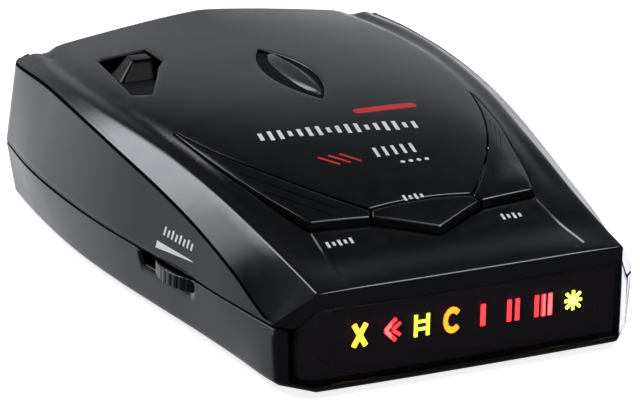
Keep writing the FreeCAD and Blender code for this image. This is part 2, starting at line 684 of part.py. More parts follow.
def release_spring():
    """Compression spring between the main board and the tooth."""
    wire = size("spring_wire")
    rise = size("tooth_foot - board_low - board_thick") - 2 * wire
    radius = size("spring_radius") - wire
    path = Part.makeHelix(rise / size("spring_turns"), rise, radius)
    profile = Part.Wire([Part.makeCircle(wire, Vector(radius, 0, 0), Vector(0, 1, 0))])
    spring = DOC.addObject("Part::Feature", "release_spring")
    spring.Shape = Part.Wire(path.Edges).makePipeShell([profile], True, True)
    spring.setExpression("Placement.Base.x", bind("release_left + release_width / 2"))
    spring.setExpression("Placement.Base.y", bind("stem_front + stem_depth / 2"))
    spring.setExpression("Placement.Base.z", bind("board_low + board_thick + spring_wire"))
    return spring


def bracket_guide():
    """Steel sleeve that takes the windscreen bracket's tongue."""
    outer = box("guide_outer", "guide_left", "guide_left + guide_width", "guide_front",
                "case_length - wall", "guide_low", "guide_low + guide_height")
    inner = box("guide_inner", "guide_left + guide_wall", "guide_left + guide_width - guide_wall",
                "guide_front + guide_wall", "case_length", "guide_low + guide_wall",
                "guide_low + guide_height - guide_wall")
    return cut("bracket_guide", outer, [inner, release_shaft_hole("guide_window")])


# ---------------------------------------------------------------- boards and what they carry

def main_board():
    """The board lies on the standoffs and clears the bosses and the loudspeaker."""
    half = [("board_nose_half", "board_front"), ("board_waist_half", "waist_y"),
            ("board_tail_half", "hip_y"), ("board_tail_half", "board_back")]
    plate = prism("board_plate", half + list(reversed(mirrored(half))), "board_low",
                  "board_low + board_thick")
    tools = [rod("board_speaker_hole", "speaker_radius + board_speaker_gap", "parting_height", "speaker_x",
                 "speaker_y", "0")]
    for i, (side, along) in enumerate(BOSSES):
        x, y = boss_place(side, along)
        tools.append(rod("board_notch_%d" % i, "boss_radius + board_gap", "parting_height", x, y, "0"))
    for i, (x, y) in enumerate(STANDOFFS):
        tools.append(rod("board_hole_%d" % i, "board_screw_radius", "parting_height", x, y, "0"))
    return cut("main_board", plate, tools)


def display_board():
    body = new_body("display_board")
    face = rectangle(sketch_on(body, "XZ_Plane", "-display_board_y"), "-display_board_half",
                     "display_board_low", "display_board_half", "display_board_high")
    pad(body, face, "display_board_thick", reverse=True)
    return body


def cell_middle(i):
    return "((%d - (cell_count - 1) / 2) * cell_pitch)" % i


def light_baffle():
    """Black block with one light well for each indicator."""
    block = box("baffle_block", "-baffle_half", "baffle_half", "baffle_front", "display_board_y",
                "baffle_low", "baffle_high")
    wells = [box("well_%d" % i, cell_middle(i) + " - cell_width / 2", cell_middle(i) + " + cell_width / 2",
                 "baffle_front - past", "display_board_y + past", "cell_middle - cell_height / 2",
                 "cell_middle + cell_height / 2") for i in range(int(size("cell_count")))]
    return cut("light_baffle", block, wells)


def indicator_mask():
    return box("indicator_mask", "-baffle_half", "baffle_half", "baffle_front - mask_thick", "baffle_front",
               "baffle_low", "baffle_high")


def lamps():
    return group("indicator_lamps", [
        box("lamp_%d" % i, cell_middle(i) + " - lamp_width / 2", cell_middle(i) + " + lamp_width / 2",
            "display_board_y - lamp_depth", "display_board_y", "cell_middle - lamp_height / 2",
            "cell_middle + lamp_height / 2") for i in range(int(size("cell_count")))])


def ribbon_cable():
    """Flat cable from the back of the display board, down and back to the main board."""
    face = "display_board_y + display_board_thick"
    top = "board_low + board_thick"
    upper = box("ribbon_upper", "-ribbon_half", "ribbon_half", face, face + " + ribbon_reach", "ribbon_high",
                "ribbon_high + ribbon_thick")
    drop = box("ribbon_drop", "-ribbon_half", "ribbon_half", face + " + ribbon_reach - ribbon_thick",
               face + " + ribbon_reach", top, "ribbon_high + ribbon_thick")
    foot = box("ribbon_foot", "-ribbon_half", "ribbon_half", face + " + ribbon_reach - ribbon_thick",
               "ribbon_foot_y", top, top + " + ribbon_thick")
    return join("ribbon_cable", [upper, drop, foot])


def small_board_parts():
    top = "board_low + board_thick"
    return {
        "controller_chip": box("controller_chip", "chip_x - chip_size / 2", "chip_x + chip_size / 2",
                               "chip_y - chip_size / 2", "chip_y + chip_size / 2", top,
                               top + " + chip_high"),
        "filter_capacitor": rod("filter_capacitor", "cap_radius", "cap_height", "cap_x", "cap_y", top),
        "crystal": rod("crystal", "crystal_radius", "crystal_length", "crystal_x", "crystal_y",
                       top + " + crystal_radius", "road"),
    }


# ---------------------------------------------------------------- volume control

def volume_wheel():
    """Thumbwheel on the potentiometer's shaft, fluted round its rim."""
    body = new_body("volume_wheel")
    thickness = "wheel_high - wheel_low"
    pad(body, circle(sketch_on(body, "XY_Plane", "wheel_low"), "0", "0", "wheel_radius"), thickness)
    bore = circle(sketch_on(body, "XY_Plane", "wheel_low"), "0", "0", "wheel_bore")
    pocket(body, bore, thickness, reverse=True)
    flute = circle(sketch_on(body, "XY_Plane", "wheel_low"), "wheel_radius", "0", "wheel_flute_radius")
    first = pocket(body, flute, thickness, reverse=True)
    DOC.recompute()
    pattern = body.newObject("PartDesign::PolarPattern", "wheel_flutes")
    pattern.Originals = [first]
    axis = [feature for feature in body.Origin.OriginFeatures if feature.Role == "Z_Axis"][0]
    pattern.Axis = (axis, [""])
    pattern.Occurrences = int(size("wheel_flute_count"))
    body.Tip = pattern
    body.setExpression("Placement.Base.x", bind("wheel_x"))
    body.setExpression("Placement.Base.y", bind("wheel_y"))
    return body


def volume_potentiometer():
    case = box("pot_case", "wheel_x - pot_size / 2", "wheel_x + pot_size / 2", "wheel_y - pot_size / 2",
               "wheel_y + pot_size / 2", "board_low + board_thick", "pot_high")
    bore = rod("pot_bore", "shaft_radius + shaft_play", "pot_high", "wheel_x", "wheel_y", "shaft_foot")
    return cut("volume_potentiometer", case, [bore])


def potentiometer_shaft():
    return rod("potentiometer_shaft", "shaft_radius", "wheel_high - shaft_foot - shaft_play", "wheel_x",
               "wheel_y", "shaft_foot + shaft_play")


# ---------------------------------------------------------------- loudspeaker

def loudspeaker():
    low = "wall + felt_thick"
    basket = rod("speaker_basket", "speaker_radius", "cone_high", "speaker_x", "speaker_y", low)
    magnet = rod("speaker_magnet", "magnet_radius", "speaker_height", "speaker_x", "speaker_y", low)
    dish = truncated_cone("speaker_dish", "cone_radius", "cone_radius / 3", "dish_depth", "speaker_x",
                          "speaker_y", low)
    return cut("speaker_basket_and_magnet", join("speaker_solid", [basket, magnet]), [dish])


def speaker_cone():
    """Paper cone with its dust cap, wide end down towards the slots."""
    low = "wall + felt_thick"
    skins = [truncated_cone(name, "cone_radius - %s" % inset, "cone_radius / 3 - %s" % inset,
                            "cone_high - cone_lift", "speaker_x", "speaker_y", low)
             for name, inset in (("cone_outside", "cone_play"), ("cone_inside", "cone_play + cone_thick"))]
    cap = rod("cone_cap", "cone_radius / 3", "cone_thick", "speaker_x", "speaker_y",
              low + " + cone_high - cone_lift - cone_thick")
    return join("speaker_cone", [cut("cone_skin", skins[0], [skins[1]]), cap])


def speaker_felt():
    return rod("speaker_felt", "speaker_radius", "felt_thick", "speaker_x", "speaker_y", "wall")


# ---------------------------------------------------------------- microwave and laser sensing

def rectangle_wire(half, low, high, y):
    corners = [Vector(-half, y, low), Vector(half, y, low), Vector(half, y, high), Vector(-half, y, high)]
    return Part.makePolygon(corners + corners[:1])


def horn_flare(inset, front, back):
    """Tapered block between the horn's throat and its mouth."""
    throat = rectangle_wire(size("guide_block_half") - inset, size("throat_low") + inset,
                            size("throat_high") - inset, front)
    mouth = rectangle_wire(size("horn_half") - inset, size("horn_low") + inset,
                           size("horn_high") - inset, back)
    return Part.makeLoft([throat, mouth], True, True)


def horn_antenna():
    """Die-cast horn, open towards the road, on its waveguide block."""
    flare = horn_flare(0, size("horn_throat"), size("horn_back"))
    throat_depth = size("horn_wall")
    void = horn_flare(throat_depth, size("horn_throat"), size("horn_back"))
    block_low = size("guide_block_low")
    block = Part.makeBox(2 * size("guide_block_half"), size("horn_throat - horn_front + past"),
                         size("guide_block_high") - block_low,
                         Vector(-size("guide_block_half"), size("horn_front"), block_low))
    horn = DOC.addObject("Part::Feature", "horn_antenna")
    horn.Shape = flare.fuse(block).cut(void)
    return horn


def shield_can():
    top = "board_low + board_thick"
    outer = box("can_outer", "can_left", "can_right", "can_front", "can_back", top, "can_high")
    inner = box("can_inner", "can_left + can_wall", "can_right - can_wall", "can_front + can_wall",
                "can_back - can_wall", top + " - past", "can_high - can_wall")
    return cut("shield_can", outer, [inner])


def laser_parts():
    top = "board_low + board_thick"
    middle = "(laser_left + laser_width / 2)"
    height = "(laser_low + laser_height / 2)"
    riser = "riser_y - display_board_thick"
    return {
        "laser_board": box("laser_board", "laser_left", "laser_left + laser_width", "laser_board_y",
                           "laser_board_y + display_board_thick", top, "laser_board_high"),
        "laser_sensor": box("laser_sensor", middle + " - sensor_size / 2", middle + " + sensor_size / 2",
                            "laser_board_y + display_board_thick",
                            "laser_board_y + display_board_thick + sensor_depth",
                            height + " - sensor_size / 2", height + " + sensor_size / 2"),
        "crown_riser": box("crown_riser", "-riser_half", "riser_half", riser, "riser_y", "riser_low",
                           "riser_high"),
        "crown_sensor": box("crown_sensor", "-sensor_size / 2", "sensor_size / 2",
                            "crown_sensor_y - sensor_size / 2", "crown_sensor_y + sensor_size / 2",
                            "riser_high", "riser_high + sensor_depth"),
    }


# ---------------------------------------------------------------- jacks and fixings

def jack(name, y, outer):
    top = "board_low + board_thick"
    block = box(name + "_block", "jack_inner", "%s - jack_nose" % outer, "%s - jack_width / 2" % y,
                "%s + jack_width / 2" % y, top, top + " + jack_height")
    nose = rod(name + "_nose", "jack_nose_radius", "%s - jack_inner" % outer, "jack_inner", y,
               JACK_AXIS, "right")
    bore = rod(name + "_bore", "jack_radius", "jack_depth + past", "%s - jack_depth" % outer, y,
               JACK_AXIS, "right")
    return cut(name + "_shell", join(name + "_solid", [block, nose]), [bore])


def power_jack():
    shell = jack("power", "jack_y", "jack_outer")
    pin = rod("power_pin", "jack_pin", "pin_length", "jack_outer - jack_depth - pin_root", "jack_y",
              JACK_AXIS, "right")
    return join("power_jack", [shell, pin])


def case_screws():
    screws = []
    for i, (side, along) in enumerate(BOSSES):
        x, y = boss_place(side, along)
        head = rod("head_%d" % i, "screw_head", "screw_head_high", x, y, "screw_sink")
        shank = rod("shank_%d" % i, "screw_radius", "screw_top - screw_sink", x, y, "screw_sink")
        screws.append(join("case_screw_%d" % i, [head, shank]))
    return group("case_screws", screws)


def board_screws():
    top = "board_low + board_thick"
    screws = []
    for i, (x, y) in enumerate(STANDOFFS):
        head = rod("board_head_%d" % i, "board_screw_head", "board_screw_head_high", x, y, top)
        shank = rod("board_shank_%d" % i, "board_screw_radius", top + " - wall", x, y, "wall")
        screws.append(join("board_screw_%d" % i, [head, shank]))
    return group("board_screws", screws)


def foot_pads():
    return group("foot_pads", [rod("foot_%d" % i, "foot_radius", "foot_height + foot_sink", x, y,
                                   "-foot_height") for i, (x, y) in enumerate(FEET)])


def rating_label():
    return box("rating_label", "-label_half + fit_gap", "label_half - fit_gap", "label_front + fit_gap",
               "label_back - fit_gap", "0", "label_thick")


def build():
    fill_sheet()
    forms = {
        "upper": upper_form("upper_form"),
        "upper_lowered": upper_form("upper_form_lowered", "key_thick"),
        "upper_raised": upper_form("upper_form_raised", "-leaf_rise"),
        "upper_hollow": upper_hollow(),
        "lower": lower_form(),
        "lower_hollow": lower_hollow(),
        "trim": plan_trim(),
        "opening": window_opening("window_hole", "window_gap", "-past", "corner_setback"),
    }
    pieces = {
        "top_cover": top_cover(forms),
        "bottom_cover": bottom_cover(forms),
        "display_window": display_window(),
        "crown_lens": crown_lens(forms),
        "laser_lens": laser_lens(),
        "switch_bases": switch_bases(),
        "release_button": release_button(),
        "release_spring": release_spring(),
        "bracket_guide": bracket_guide(),
        "main_board": main_board(),
        "display_board": display_board(),
        "light_baffle": light_baffle(),
        "indicator_mask": indicator_mask(),
        "indicator_lamps": lamps(),
        "ribbon_cable": ribbon_cable(),
        "volume_wheel": volume_wheel(),
        "volume_potentiometer": volume_potentiometer(),
        "potentiometer_shaft": potentiometer_shaft(),
        "loudspeaker": loudspeaker(),
        "speaker_cone": speaker_cone(),
        "speaker_felt": speaker_felt(),
        "horn_antenna": horn_antenna(),
        "shield_can": shield_can(),
        "power_jack": power_jack(),
        "earphone_jack": jack("phone", "phone_y", "phone_outer"),
        "case_screws": case_screws(),
        "board_screws": board_screws(),
        "foot_pads": foot_pads(),
        "rating_label": rating_label(),
    }
    pieces.update(keys(forms))
    pieces.update(switch_domes())
    pieces.update(small_board_parts())
    pieces.update(laser_parts())
    DOC.recompute()
    for label, piece in pieces.items():
        place_on_ground(piece, label)
    DOC.recompute()
    return pieces


def check(pieces):
    faults = [item.Name for item in DOC.Objects if "Invalid" in item.State or "Error" in item.State]
    for label, piece in pieces.items():
        if piece.Shape.isNull() or not piece.Shape.isValid() or not piece.Shape.Solids:
            faults.append(label)
    if faults:
        raise RuntimeError("not sound: " + ", ".join(faults))


def write(pieces):
    os.makedirs("parts", exist_ok=True)
    for label, piece in pieces.items():
        piece.Shape.exportStep(os.path.join("parts", label + ".step"))
        print("%-22s %2d solids %10.2f mm3" % (label, len(piece.Shape.Solids), piece.Shape.Volume))


PIECES = build()
check(PIECES)
write(PIECES)
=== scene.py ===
import math

import bmesh
import bpy
import numpy as np
from mathutils import Matrix, Vector
from mathutils.geometry import delaunay_2d_cdt


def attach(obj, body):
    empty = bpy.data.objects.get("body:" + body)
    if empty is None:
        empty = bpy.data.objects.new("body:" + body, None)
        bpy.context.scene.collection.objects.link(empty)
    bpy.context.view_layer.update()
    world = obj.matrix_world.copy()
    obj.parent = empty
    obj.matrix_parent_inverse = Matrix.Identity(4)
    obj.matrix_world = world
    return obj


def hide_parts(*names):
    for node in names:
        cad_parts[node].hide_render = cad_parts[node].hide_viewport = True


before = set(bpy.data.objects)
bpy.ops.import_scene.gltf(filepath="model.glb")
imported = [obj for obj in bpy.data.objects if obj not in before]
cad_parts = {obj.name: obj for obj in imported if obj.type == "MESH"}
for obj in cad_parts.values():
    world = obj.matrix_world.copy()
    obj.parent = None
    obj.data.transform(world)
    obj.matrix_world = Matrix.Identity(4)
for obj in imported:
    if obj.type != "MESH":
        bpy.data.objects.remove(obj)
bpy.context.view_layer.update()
cad_nodes = [thing for thing in bpy.data.objects if thing.type == "MESH"]

# Shapes are drawn in millimetres in the case's own frame: y runs back from the display and z up from the
# underside of the bottom cover.  to_frame() moves them to the CAD frame.
MM = 0.001
LENGTH = 108.0
FOOT_HEIGHT = 0.6
PARTING = 10.5

# The cross-section at stations back from the display: half widths at the floor, the parting line and the
# ridge, heights of the groove, the ridge and the crown, and how much of the roof's fall lies outside its
# shoulder.
STATION = np.array([0, 7, 20, 32, 45, 59, 75, 92, 108.0])
SECTION = {
    "floor": [31.0, 32.6, 33.6, 34.7, 36.2, 37.7, 38.6, 38.1, 36.7],
    "side": [32.2, 33.2, 35.0, 36.3, 38.0, 39.7, 40.6, 40.3, 38.3],
    "groove": [10.9, 11.4, 15.8, 18.9, 21.6, 23.8, 25.4, 26.0, 25.3],
    "ridge": [27.85, 28.1, 28.9, 30.0, 31.4, 33.2, 34.5, 34.6, 32.9],
    "ridge_z": [17.2, 18.4, 20.7, 22.9, 24.7, 26.1, 26.8, 26.9, 26.3],
    "crown": [17.4, 19.4, 23.2, 25.8, 28.0, 29.4, 30.1, 30.4, 30.5],
    "rise": [0.72, 0.72, 0.72, 0.70, 0.67, 0.63, 0.58, 0.45, 0.33],
}
SHOULDER = 0.73
SHOULDER_BLEND = 0.05
NOSE_BOW = 0.4
CORNER_X, CORNER_Y = 33.0, 5.8
TAIL_ROUND = 1.4
TAIL_START = LENGTH - TAIL_ROUND
TAIL_DROP = 0.8
VALLEY_IN, VALLEY_HALF = 2.4, 1.4
SEAM = 0.24


def to_frame(points):
    return (np.asarray(points, float).reshape(-1, 3) + [0, -LENGTH / 2, FOOT_HEIGHT]) * MM


def along(name, y):
    """One of the section's sizes at a distance back from the display, as a smooth curve."""
    values = np.array(SECTION[name], float)
    slopes = np.gradient(values, STATION)
    y = np.clip(np.asarray(y, float), 0, LENGTH)
    i = np.clip(np.searchsorted(STATION, y, side="right") - 1, 0, len(STATION) - 2)
    span = STATION[i + 1] - STATION[i]
    t = (y - STATION[i]) / span
    return ((2 * t**3 - 3 * t**2 + 1) * values[i] + (t**3 - 2 * t**2 + t) * span * slopes[i]
            + (3 * t**2 - 2 * t**3) * values[i + 1] + (t**3 - t**2) * span * slopes[i + 1])


def ease(low, high, value):
    t = np.clip((np.asarray(value, float) - low) / (high - low), 0, 1)
    return t * t * (3 - 2 * t)


def draft(y):
    """How far the side panels lean in for each millimetre up; they are more upright at the tail."""
    return 0.216 - 0.09 * ease(88, LENGTH, y)


NOSE_X = float(along("ridge", NOSE_BOW))
APRON_STEP, APRON_MARGIN = 1.2, 0.25


def roof(x, y):
    """Height of the shield and the keys: flat-topped with two creases in front, rounder behind."""
    x, y = np.asarray(x, float), np.asarray(y, float)
    rise, high, low = along("rise", y), along("crown", y), along("ridge_z", y)
    t = np.clip(np.abs(x) / along("ridge", y), 0, 1)
    bow = (1 - rise) / SHOULDER**2 * t**2
    facet = 1 - rise * (1 - t) / (1 - SHOULDER)
    meet = np.maximum(SHOULDER_BLEND - np.abs(bow - facet), 0) / SHOULDER_BLEND
    sharp = np.maximum(bow, facet) + meet**2 * SHOULDER_BLEND / 4
    round_ = t ** (np.log(1 - rise) / math.log(SHOULDER))
    share = ease(22, 60, y)
    fall = sharp * (1 - share) + round_ * share
    inner = along("ridge", y) - np.abs(x)
    depth = 0.3 * ease(12, 45, y) + 0.4 * ease(70, 104, y)
    valley = depth * np.exp(-((inner - VALLEY_IN) / VALLEY_HALF) ** 2) * ease(0, 0.8, inner)
    corner = np.clip((y - TAIL_START) / TAIL_ROUND, 0, 1) ** 2 * (1 - ease(0, 6, inner))
    return high - (high - low) * fall - valley - TAIL_DROP * (1 - np.sqrt(1 - 0.98 * corner))


def apron(x, y):
    """Height of the cover outside the keys, which stand proud of it in front."""
    t = np.clip(np.abs(x) / along("ridge", y), 0, 1)
    edge = np.clip((1 - t) / APRON_MARGIN, 0, 1)
    return roof(x, y) - APRON_STEP * ease(0, 12, y) * (1 - ease(24, 54, y)) * edge


# ---------------------------------------------------------------- plan outlines

def outline(corners, step=0.6):
    """Sampled closed outline; a corner is (across, up) or (across, up, bow of the edge that follows)."""
    points = []
    for i, corner in enumerate(corners):
        begin = np.array(corner[:2], float)
        run = np.array(corners[(i + 1) % len(corners)][:2], float) - begin
        length = float(np.hypot(*run))
        bow = corner[2] if len(corner) == 3 else 0
        t = np.arange(max(1, math.ceil(length / step))) / max(1, math.ceil(length / step))
        stretch = begin + t[:, None] * run
        if bow:
            radius = (length**2 / 4 + bow**2) / (2 * abs(bow))
            lift = np.sqrt(radius**2 - ((t - 0.5) * length) ** 2) - (radius - abs(bow))
            stretch += math.copysign(1, bow) * lift[:, None] * np.array([run[1], -run[0]]) / length
        points.append(stretch)
    return np.concatenate(points)


def beside(runs):
    """Unit vectors to the right of each run."""
    return np.stack([runs[:, 1], -runs[:, 0]], 1) / np.hypot(*runs.T)[:, None]


def offset(loop, distance):
    """A counter-clockwise loop moved outwards by a distance; sharp tips are cut short."""
    a, b = beside(loop - np.roll(loop, 1, 0)), beside(np.roll(loop, -1, 0) - loop)
    return loop + (distance / np.maximum(1 + (a * b).sum(1), 0.5))[:, None] * (a + b)


def box(x0, y0, x1, y1):
    return [(x0, y0), (x1, y0), (x1, y1), (x0, y1)]


ARC_STEP, LOOP_STEP = 0.3, 0.6


def rounded(corners, radius):
    """A polygon, counter-clockwise, with every corner rounded."""
    points = []
    count = len(corners)
    for i in range(count):
        here = np.array(corners[i], float)
        before = np.array(corners[i - 1], float) - here
        after = np.array(corners[(i + 1) % count], float) - here
        before, after = before / np.hypot(*before), after / np.hypot(*after)
        half = math.acos(np.clip(before @ after, -1, 1)) / 2
        reach = radius / math.tan(half)
        start, end = here + before * reach, here + after * reach
        centre = here + (before + after) / np.hypot(*(before + after)) * radius / math.sin(half)
        first = math.atan2(*(start - centre)[::-1])
        turn = (math.atan2(*(end - centre)[::-1]) - first + math.pi) % (2 * math.pi) - math.pi
        for t in np.linspace(0, 1, max(3, math.ceil(abs(turn) * radius / ARC_STEP))):
            angle = first + turn * t
            points.append(centre + radius * np.array([math.cos(angle), math.sin(angle)]))
    return resample(np.array(points), LOOP_STEP)


def resample(loop, step):
    """Splits the long edges of a loop."""
    points = []
    for here, after in zip(loop, np.roll(loop, -1, 0)):
        count = max(1, math.ceil(np.hypot(*(after - here)) / step))
        points.append(here + (after - here) * (np.arange(count) / count)[:, None])
    return np.concatenate(points)


def ring(centre, radius, count=28):
    angle = np.arange(count) / count * 2 * math.pi
    return np.array(centre, float) + radius * np.stack([np.cos(angle), np.sin(angle)], 1)


def inside(loop, points):
    x, y = points[:, 0, None], points[:, 1, None]
    x0, y0 = loop[:, 0], loop[:, 1]
    x1, y1 = np.roll(x0, -1), np.roll(y0, -1)
    rise = np.where(y1 == y0, 1, y1 - y0)
    crossed = ((y0 > y) != (y1 > y)) & (x < (x1 - x0) * (y - y0) / rise + x0)
    return crossed.sum(1) % 2 == 1


def distance(loop, points):
    start = loop[None]
    run = (np.roll(loop, -1, 0) - loop)[None]
    gap = points[:, None] - start
    t = np.clip((gap * run).sum(2) / np.maximum((run**2).sum(2), 1e-12), 0, 1)
    return np.sqrt(((gap - t[..., None] * run) ** 2).sum(2)).min(1)


MOST_ROUND = 0.45    # room left beside a fillet whose radius is a function
SHARP_ANGLE = 35


def roof_of(plan):
    return roof(plan[:, 0], plan[:, 1])


def level(plan, z):
    """Points (x, y) at a height; z is a number or one for each point."""
    return np.column_stack([plan, np.full(len(plan), z)])


def upright(plan, y):
    """Points (x, z) at a distance back."""
    return np.column_stack([plan[:, 0], np.full(len(plan), y), plan[:, 1]])


def mirrored(loop):
    return (loop * [-1, 1])[::-1]


def placed(name, data):
    thing = bpy.data.objects.new(name, data)
    bpy.context.scene.collection.objects.link(thing)
    return thing


class Mesh:
    """Points in the case frame and the faces between them."""

    def __init__(self):
        self.points, self.faces = [], []

    def add(self, points, faces):
        base = len(self.points)
        self.points += [tuple(p) for p in np.asarray(points, float).reshape(-1, 3)]
        self.faces += [[base + i for i in f] for f in faces]

    def sheet(self, rows, closed=False, skip=None):
        """Quads between rows of equal length; skip(i, j) leaves one out."""
        rows = np.asarray(rows, float)
        n, m = rows.shape[:2]
        faces = []
        for i in range(n - 1):
            for j in range(m if closed else m - 1):
                if skip is None or not skip(i, j):
                    k = (j + 1) % m
                    faces.append([i * m + j, i * m + k, (i + 1) * m + k, (i + 1) * m + j])
        self.add(rows, faces)

    def region(self, loops, lift, fillets=(), spacing=1.2, lines=(), steps=4, clear=0.0):
        """Fills the plan between the first loop and the others.  lift(points, drop) puts it in space; along
        each loop in fillets, a pair of loop and radius, the surface rounds over to the loop.  The faces
        follow the open lines, and the inner grid keeps clear of the first loop."""
        tracks = [(loop, np.full(len(loop), True), True) for loop in loops]
        for loop, radius in fillets:
            radius = radius(loop) if callable(radius) else np.full(len(loop), radius)
            for k in range(1, steps + 1):
                away = radius * (1 - math.cos(math.pi / 2 * k / steps))
                for side in (away, -away):
                    moved = offset(loop, side)
                    good = self._within(loops, moved) & (distance(loop, moved) > away * 0.9)
                    if good.sum() > 2:
                        tracks.append((moved, good, True))
        tracks += [(line, np.full(len(line), True), False) for line in lines]
        points, edges = [], []
        for track, good, closed in tracks:
            n = len(track)
            order = sum(map(len, points)) + np.cumsum(good) - 1
            edges += [(order[i], order[(i + 1) % n]) for i in range(n if closed else n - 1)
                      if good[i] and good[(i + 1) % n]]
            points.append(track[good])
        low, high = loops[0].min(0), loops[0].max(0)
        count = np.maximum(2, np.ceil((high - low) / spacing)).astype(int)
        gx, gy = np.meshgrid(*[np.linspace(low[k], high[k], count[k] + 1) for k in (0, 1)])
        grid = np.stack([gx.ravel(), gy.ravel()], 1)
        grid = grid[self._within(loops, grid)]
        for loop in loops:
            widest = max([MOST_ROUND if callable(radius) else radius
                          for other, radius in fillets if other is loop] + [0])
            grid = grid[distance(loop, grid) > widest + spacing * 0.45]
        points.append(grid[distance(loops[0], grid) > clear])
        flat = np.concatenate(points)
        found = delaunay_2d_cdt([Vector(p) for p in flat], edges, [], 0, 1e-5)
        plan = np.array([(v.x, v.y) for v in found[0]])
        faces = np.array([f for f in found[2] if len(f) == 3])
        faces = faces[self._within(loops, plan[faces].mean(1))]
        drop = np.zeros(len(plan))
        for loop, radius in fillets:
            radius = radius(plan) if callable(radius) else np.full(len(plan), radius)
            near = np.clip(radius - distance(loop, plan), 0, radius)
            drop = np.maximum(drop, radius - np.sqrt(np.maximum(radius**2 - near**2, 0)))
        self.add(lift(plan, drop), faces.tolist())

    @staticmethod
    def _within(loops, points):
        kept = inside(loops[0], points)
        for hole in loops[1:]:
            kept &= ~inside(hole, points)
        return kept

    def build(self, name, body, material, replaces=(), weights=(), bevel=None, outward=None,
              thick=None):
        """The finished piece.  weights lists functions of an edge's two ends that give its bevel weight,
        outward is a way that most of an open skin faces, and thick is the wall behind the skin."""
        mesh = bpy.data.meshes.new(name)
        mesh.from_pydata(to_frame(self.points).tolist(), [], self.faces)
        bm = bmesh.new()
        bm.from_mesh(mesh)
        bmesh.ops.remove_doubles(bm, verts=bm.verts, dist=4e-6)
        bmesh.ops.dissolve_degenerate(bm, edges=bm.edges, dist=1e-6)
        loose = [v for v in bm.verts if not v.link_faces]
        bmesh.ops.delete(bm, geom=loose, context="VERTS")
        bmesh.ops.recalc_face_normals(bm, faces=bm.faces)
        if outward is not None:
            way = sum((f.normal.dot(Vector(outward)) * f.calc_area() for f in bm.faces), 0.0)
            if way < 0:
                bmesh.ops.reverse_faces(bm, faces=bm.faces)
        if weights:
            layer = bm.edges.layers.float.new("bevel_weight_edge")
            for edge in bm.edges:
                if len(edge.link_faces) == 2:
                    ends = [np.array(v.co) / MM - [0, -LENGTH / 2, FOOT_HEIGHT] for v in edge.verts]
                    edge[layer] = max(rule(*ends) for rule in weights)
        bm.to_mesh(mesh)
        bm.free()
        mesh.shade_smooth()
        mesh.set_sharp_from_angle(angle=math.radians(SHARP_ANGLE))
        if weights and "sharp_edge" in mesh.attributes:
            flags, bevels = (mesh.attributes[kind].data for kind in ("sharp_edge", "bevel_weight_edge"))
            for flag, weight in zip(flags, bevels):
                flag.value = flag.value and weight.value == 0
        piece = placed(name, mesh)
        if weights:
            rounding = piece.modifiers.new("edges", "BEVEL")
            rounding.limit_method, rounding.width, rounding.segments = "WEIGHT", bevel * MM, 4
            rounding.use_clamp_overlap = False
            rounding.harden_normals = False
        if thick:
            wall = piece.modifiers.new("wall", "SOLIDIFY")
            wall.thickness, wall.offset, wall.use_rim = thick * MM, -1, True
        piece.data.materials.append(material)
        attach(piece, body)
        if replaces:
            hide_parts(*replaces)


# ---------------------------------------------------------------- materials

def nodes_of(name):
    material = bpy.data.materials.new(name)
    material.use_nodes = True
    return material, material.node_tree, material.node_tree.nodes["Principled BSDF"]


def feed(node, field, value):
    """Sets an input of a node, or links it to another node's output."""
    if isinstance(value, bpy.types.NodeSocket):
        node.id_data.links.new(value, node.inputs[field])
    else:
        node.inputs[field].default_value = value


def noise(tree, scale, detail=3.0, stretch=None):
    """A noise texture over the object, in lumps per metre."""
    place = tree.nodes.new("ShaderNodeTexCoord")
    texture = tree.nodes.new("ShaderNodeTexNoise")
    feed(texture, "Scale", scale)
    feed(texture, "Detail", detail)
    feed(texture, "Roughness", 0.5)
    source = place.outputs["Object"]
    if stretch:
        mapping = tree.nodes.new("ShaderNodeMapping")
        feed(mapping, "Scale", stretch)
        feed(mapping, "Vector", source)
        source = mapping.outputs["Vector"]
    feed(texture, "Vector", source)
    return texture.outputs["Fac"]


def spread(tree, source, low, high, begin=0.3, end=0.7):
    node = tree.nodes.new("ShaderNodeMapRange")
    for field, number in (("From Min", begin), ("From Max", end), ("To Min", low), ("To Max", high)):
        feed(node, field, number)
    feed(node, "Value", source)
    return node.outputs["Result"]


def blended(tree, source, first, second):
    ramp = tree.nodes.new("ShaderNodeValToRGB")
    for stop, place, colour in zip(ramp.color_ramp.elements, (0.3, 0.7), (first, second)):
        stop.position, stop.color = place, (*colour, 1)
    feed(ramp, "Fac", source)
    return ramp.outputs["Color"]


def bump(tree, source, height, shader):
    node = tree.nodes.new("ShaderNodeBump")
    feed(node, "Strength", 1.0)
    feed(node, "Distance", height * MM)
    feed(node, "Height", source)
    feed(shader, "Normal", node.outputs["Normal"])


def moulded(name, dark, light, gloss, grain=5200, depth=0.012, specular=0.5, metallic=0.0, patches=90,
            stretch=None):
    """Moulded or sheet stock: slow colour drift, uneven gloss and a fine surface grain."""
    material, tree, shader = nodes_of(name)
    feed(shader, "Base Color", blended(tree, noise(tree, patches, 4), dark, light))
    feed(shader, "Roughness", spread(tree, noise(tree, patches * 4, 6, stretch), *gloss))
    bump(tree, noise(tree, grain, 2, stretch), depth, shader)
    feed(shader, "Specular IOR Level", specular)
    feed(shader, "Metallic", metallic)
    return material


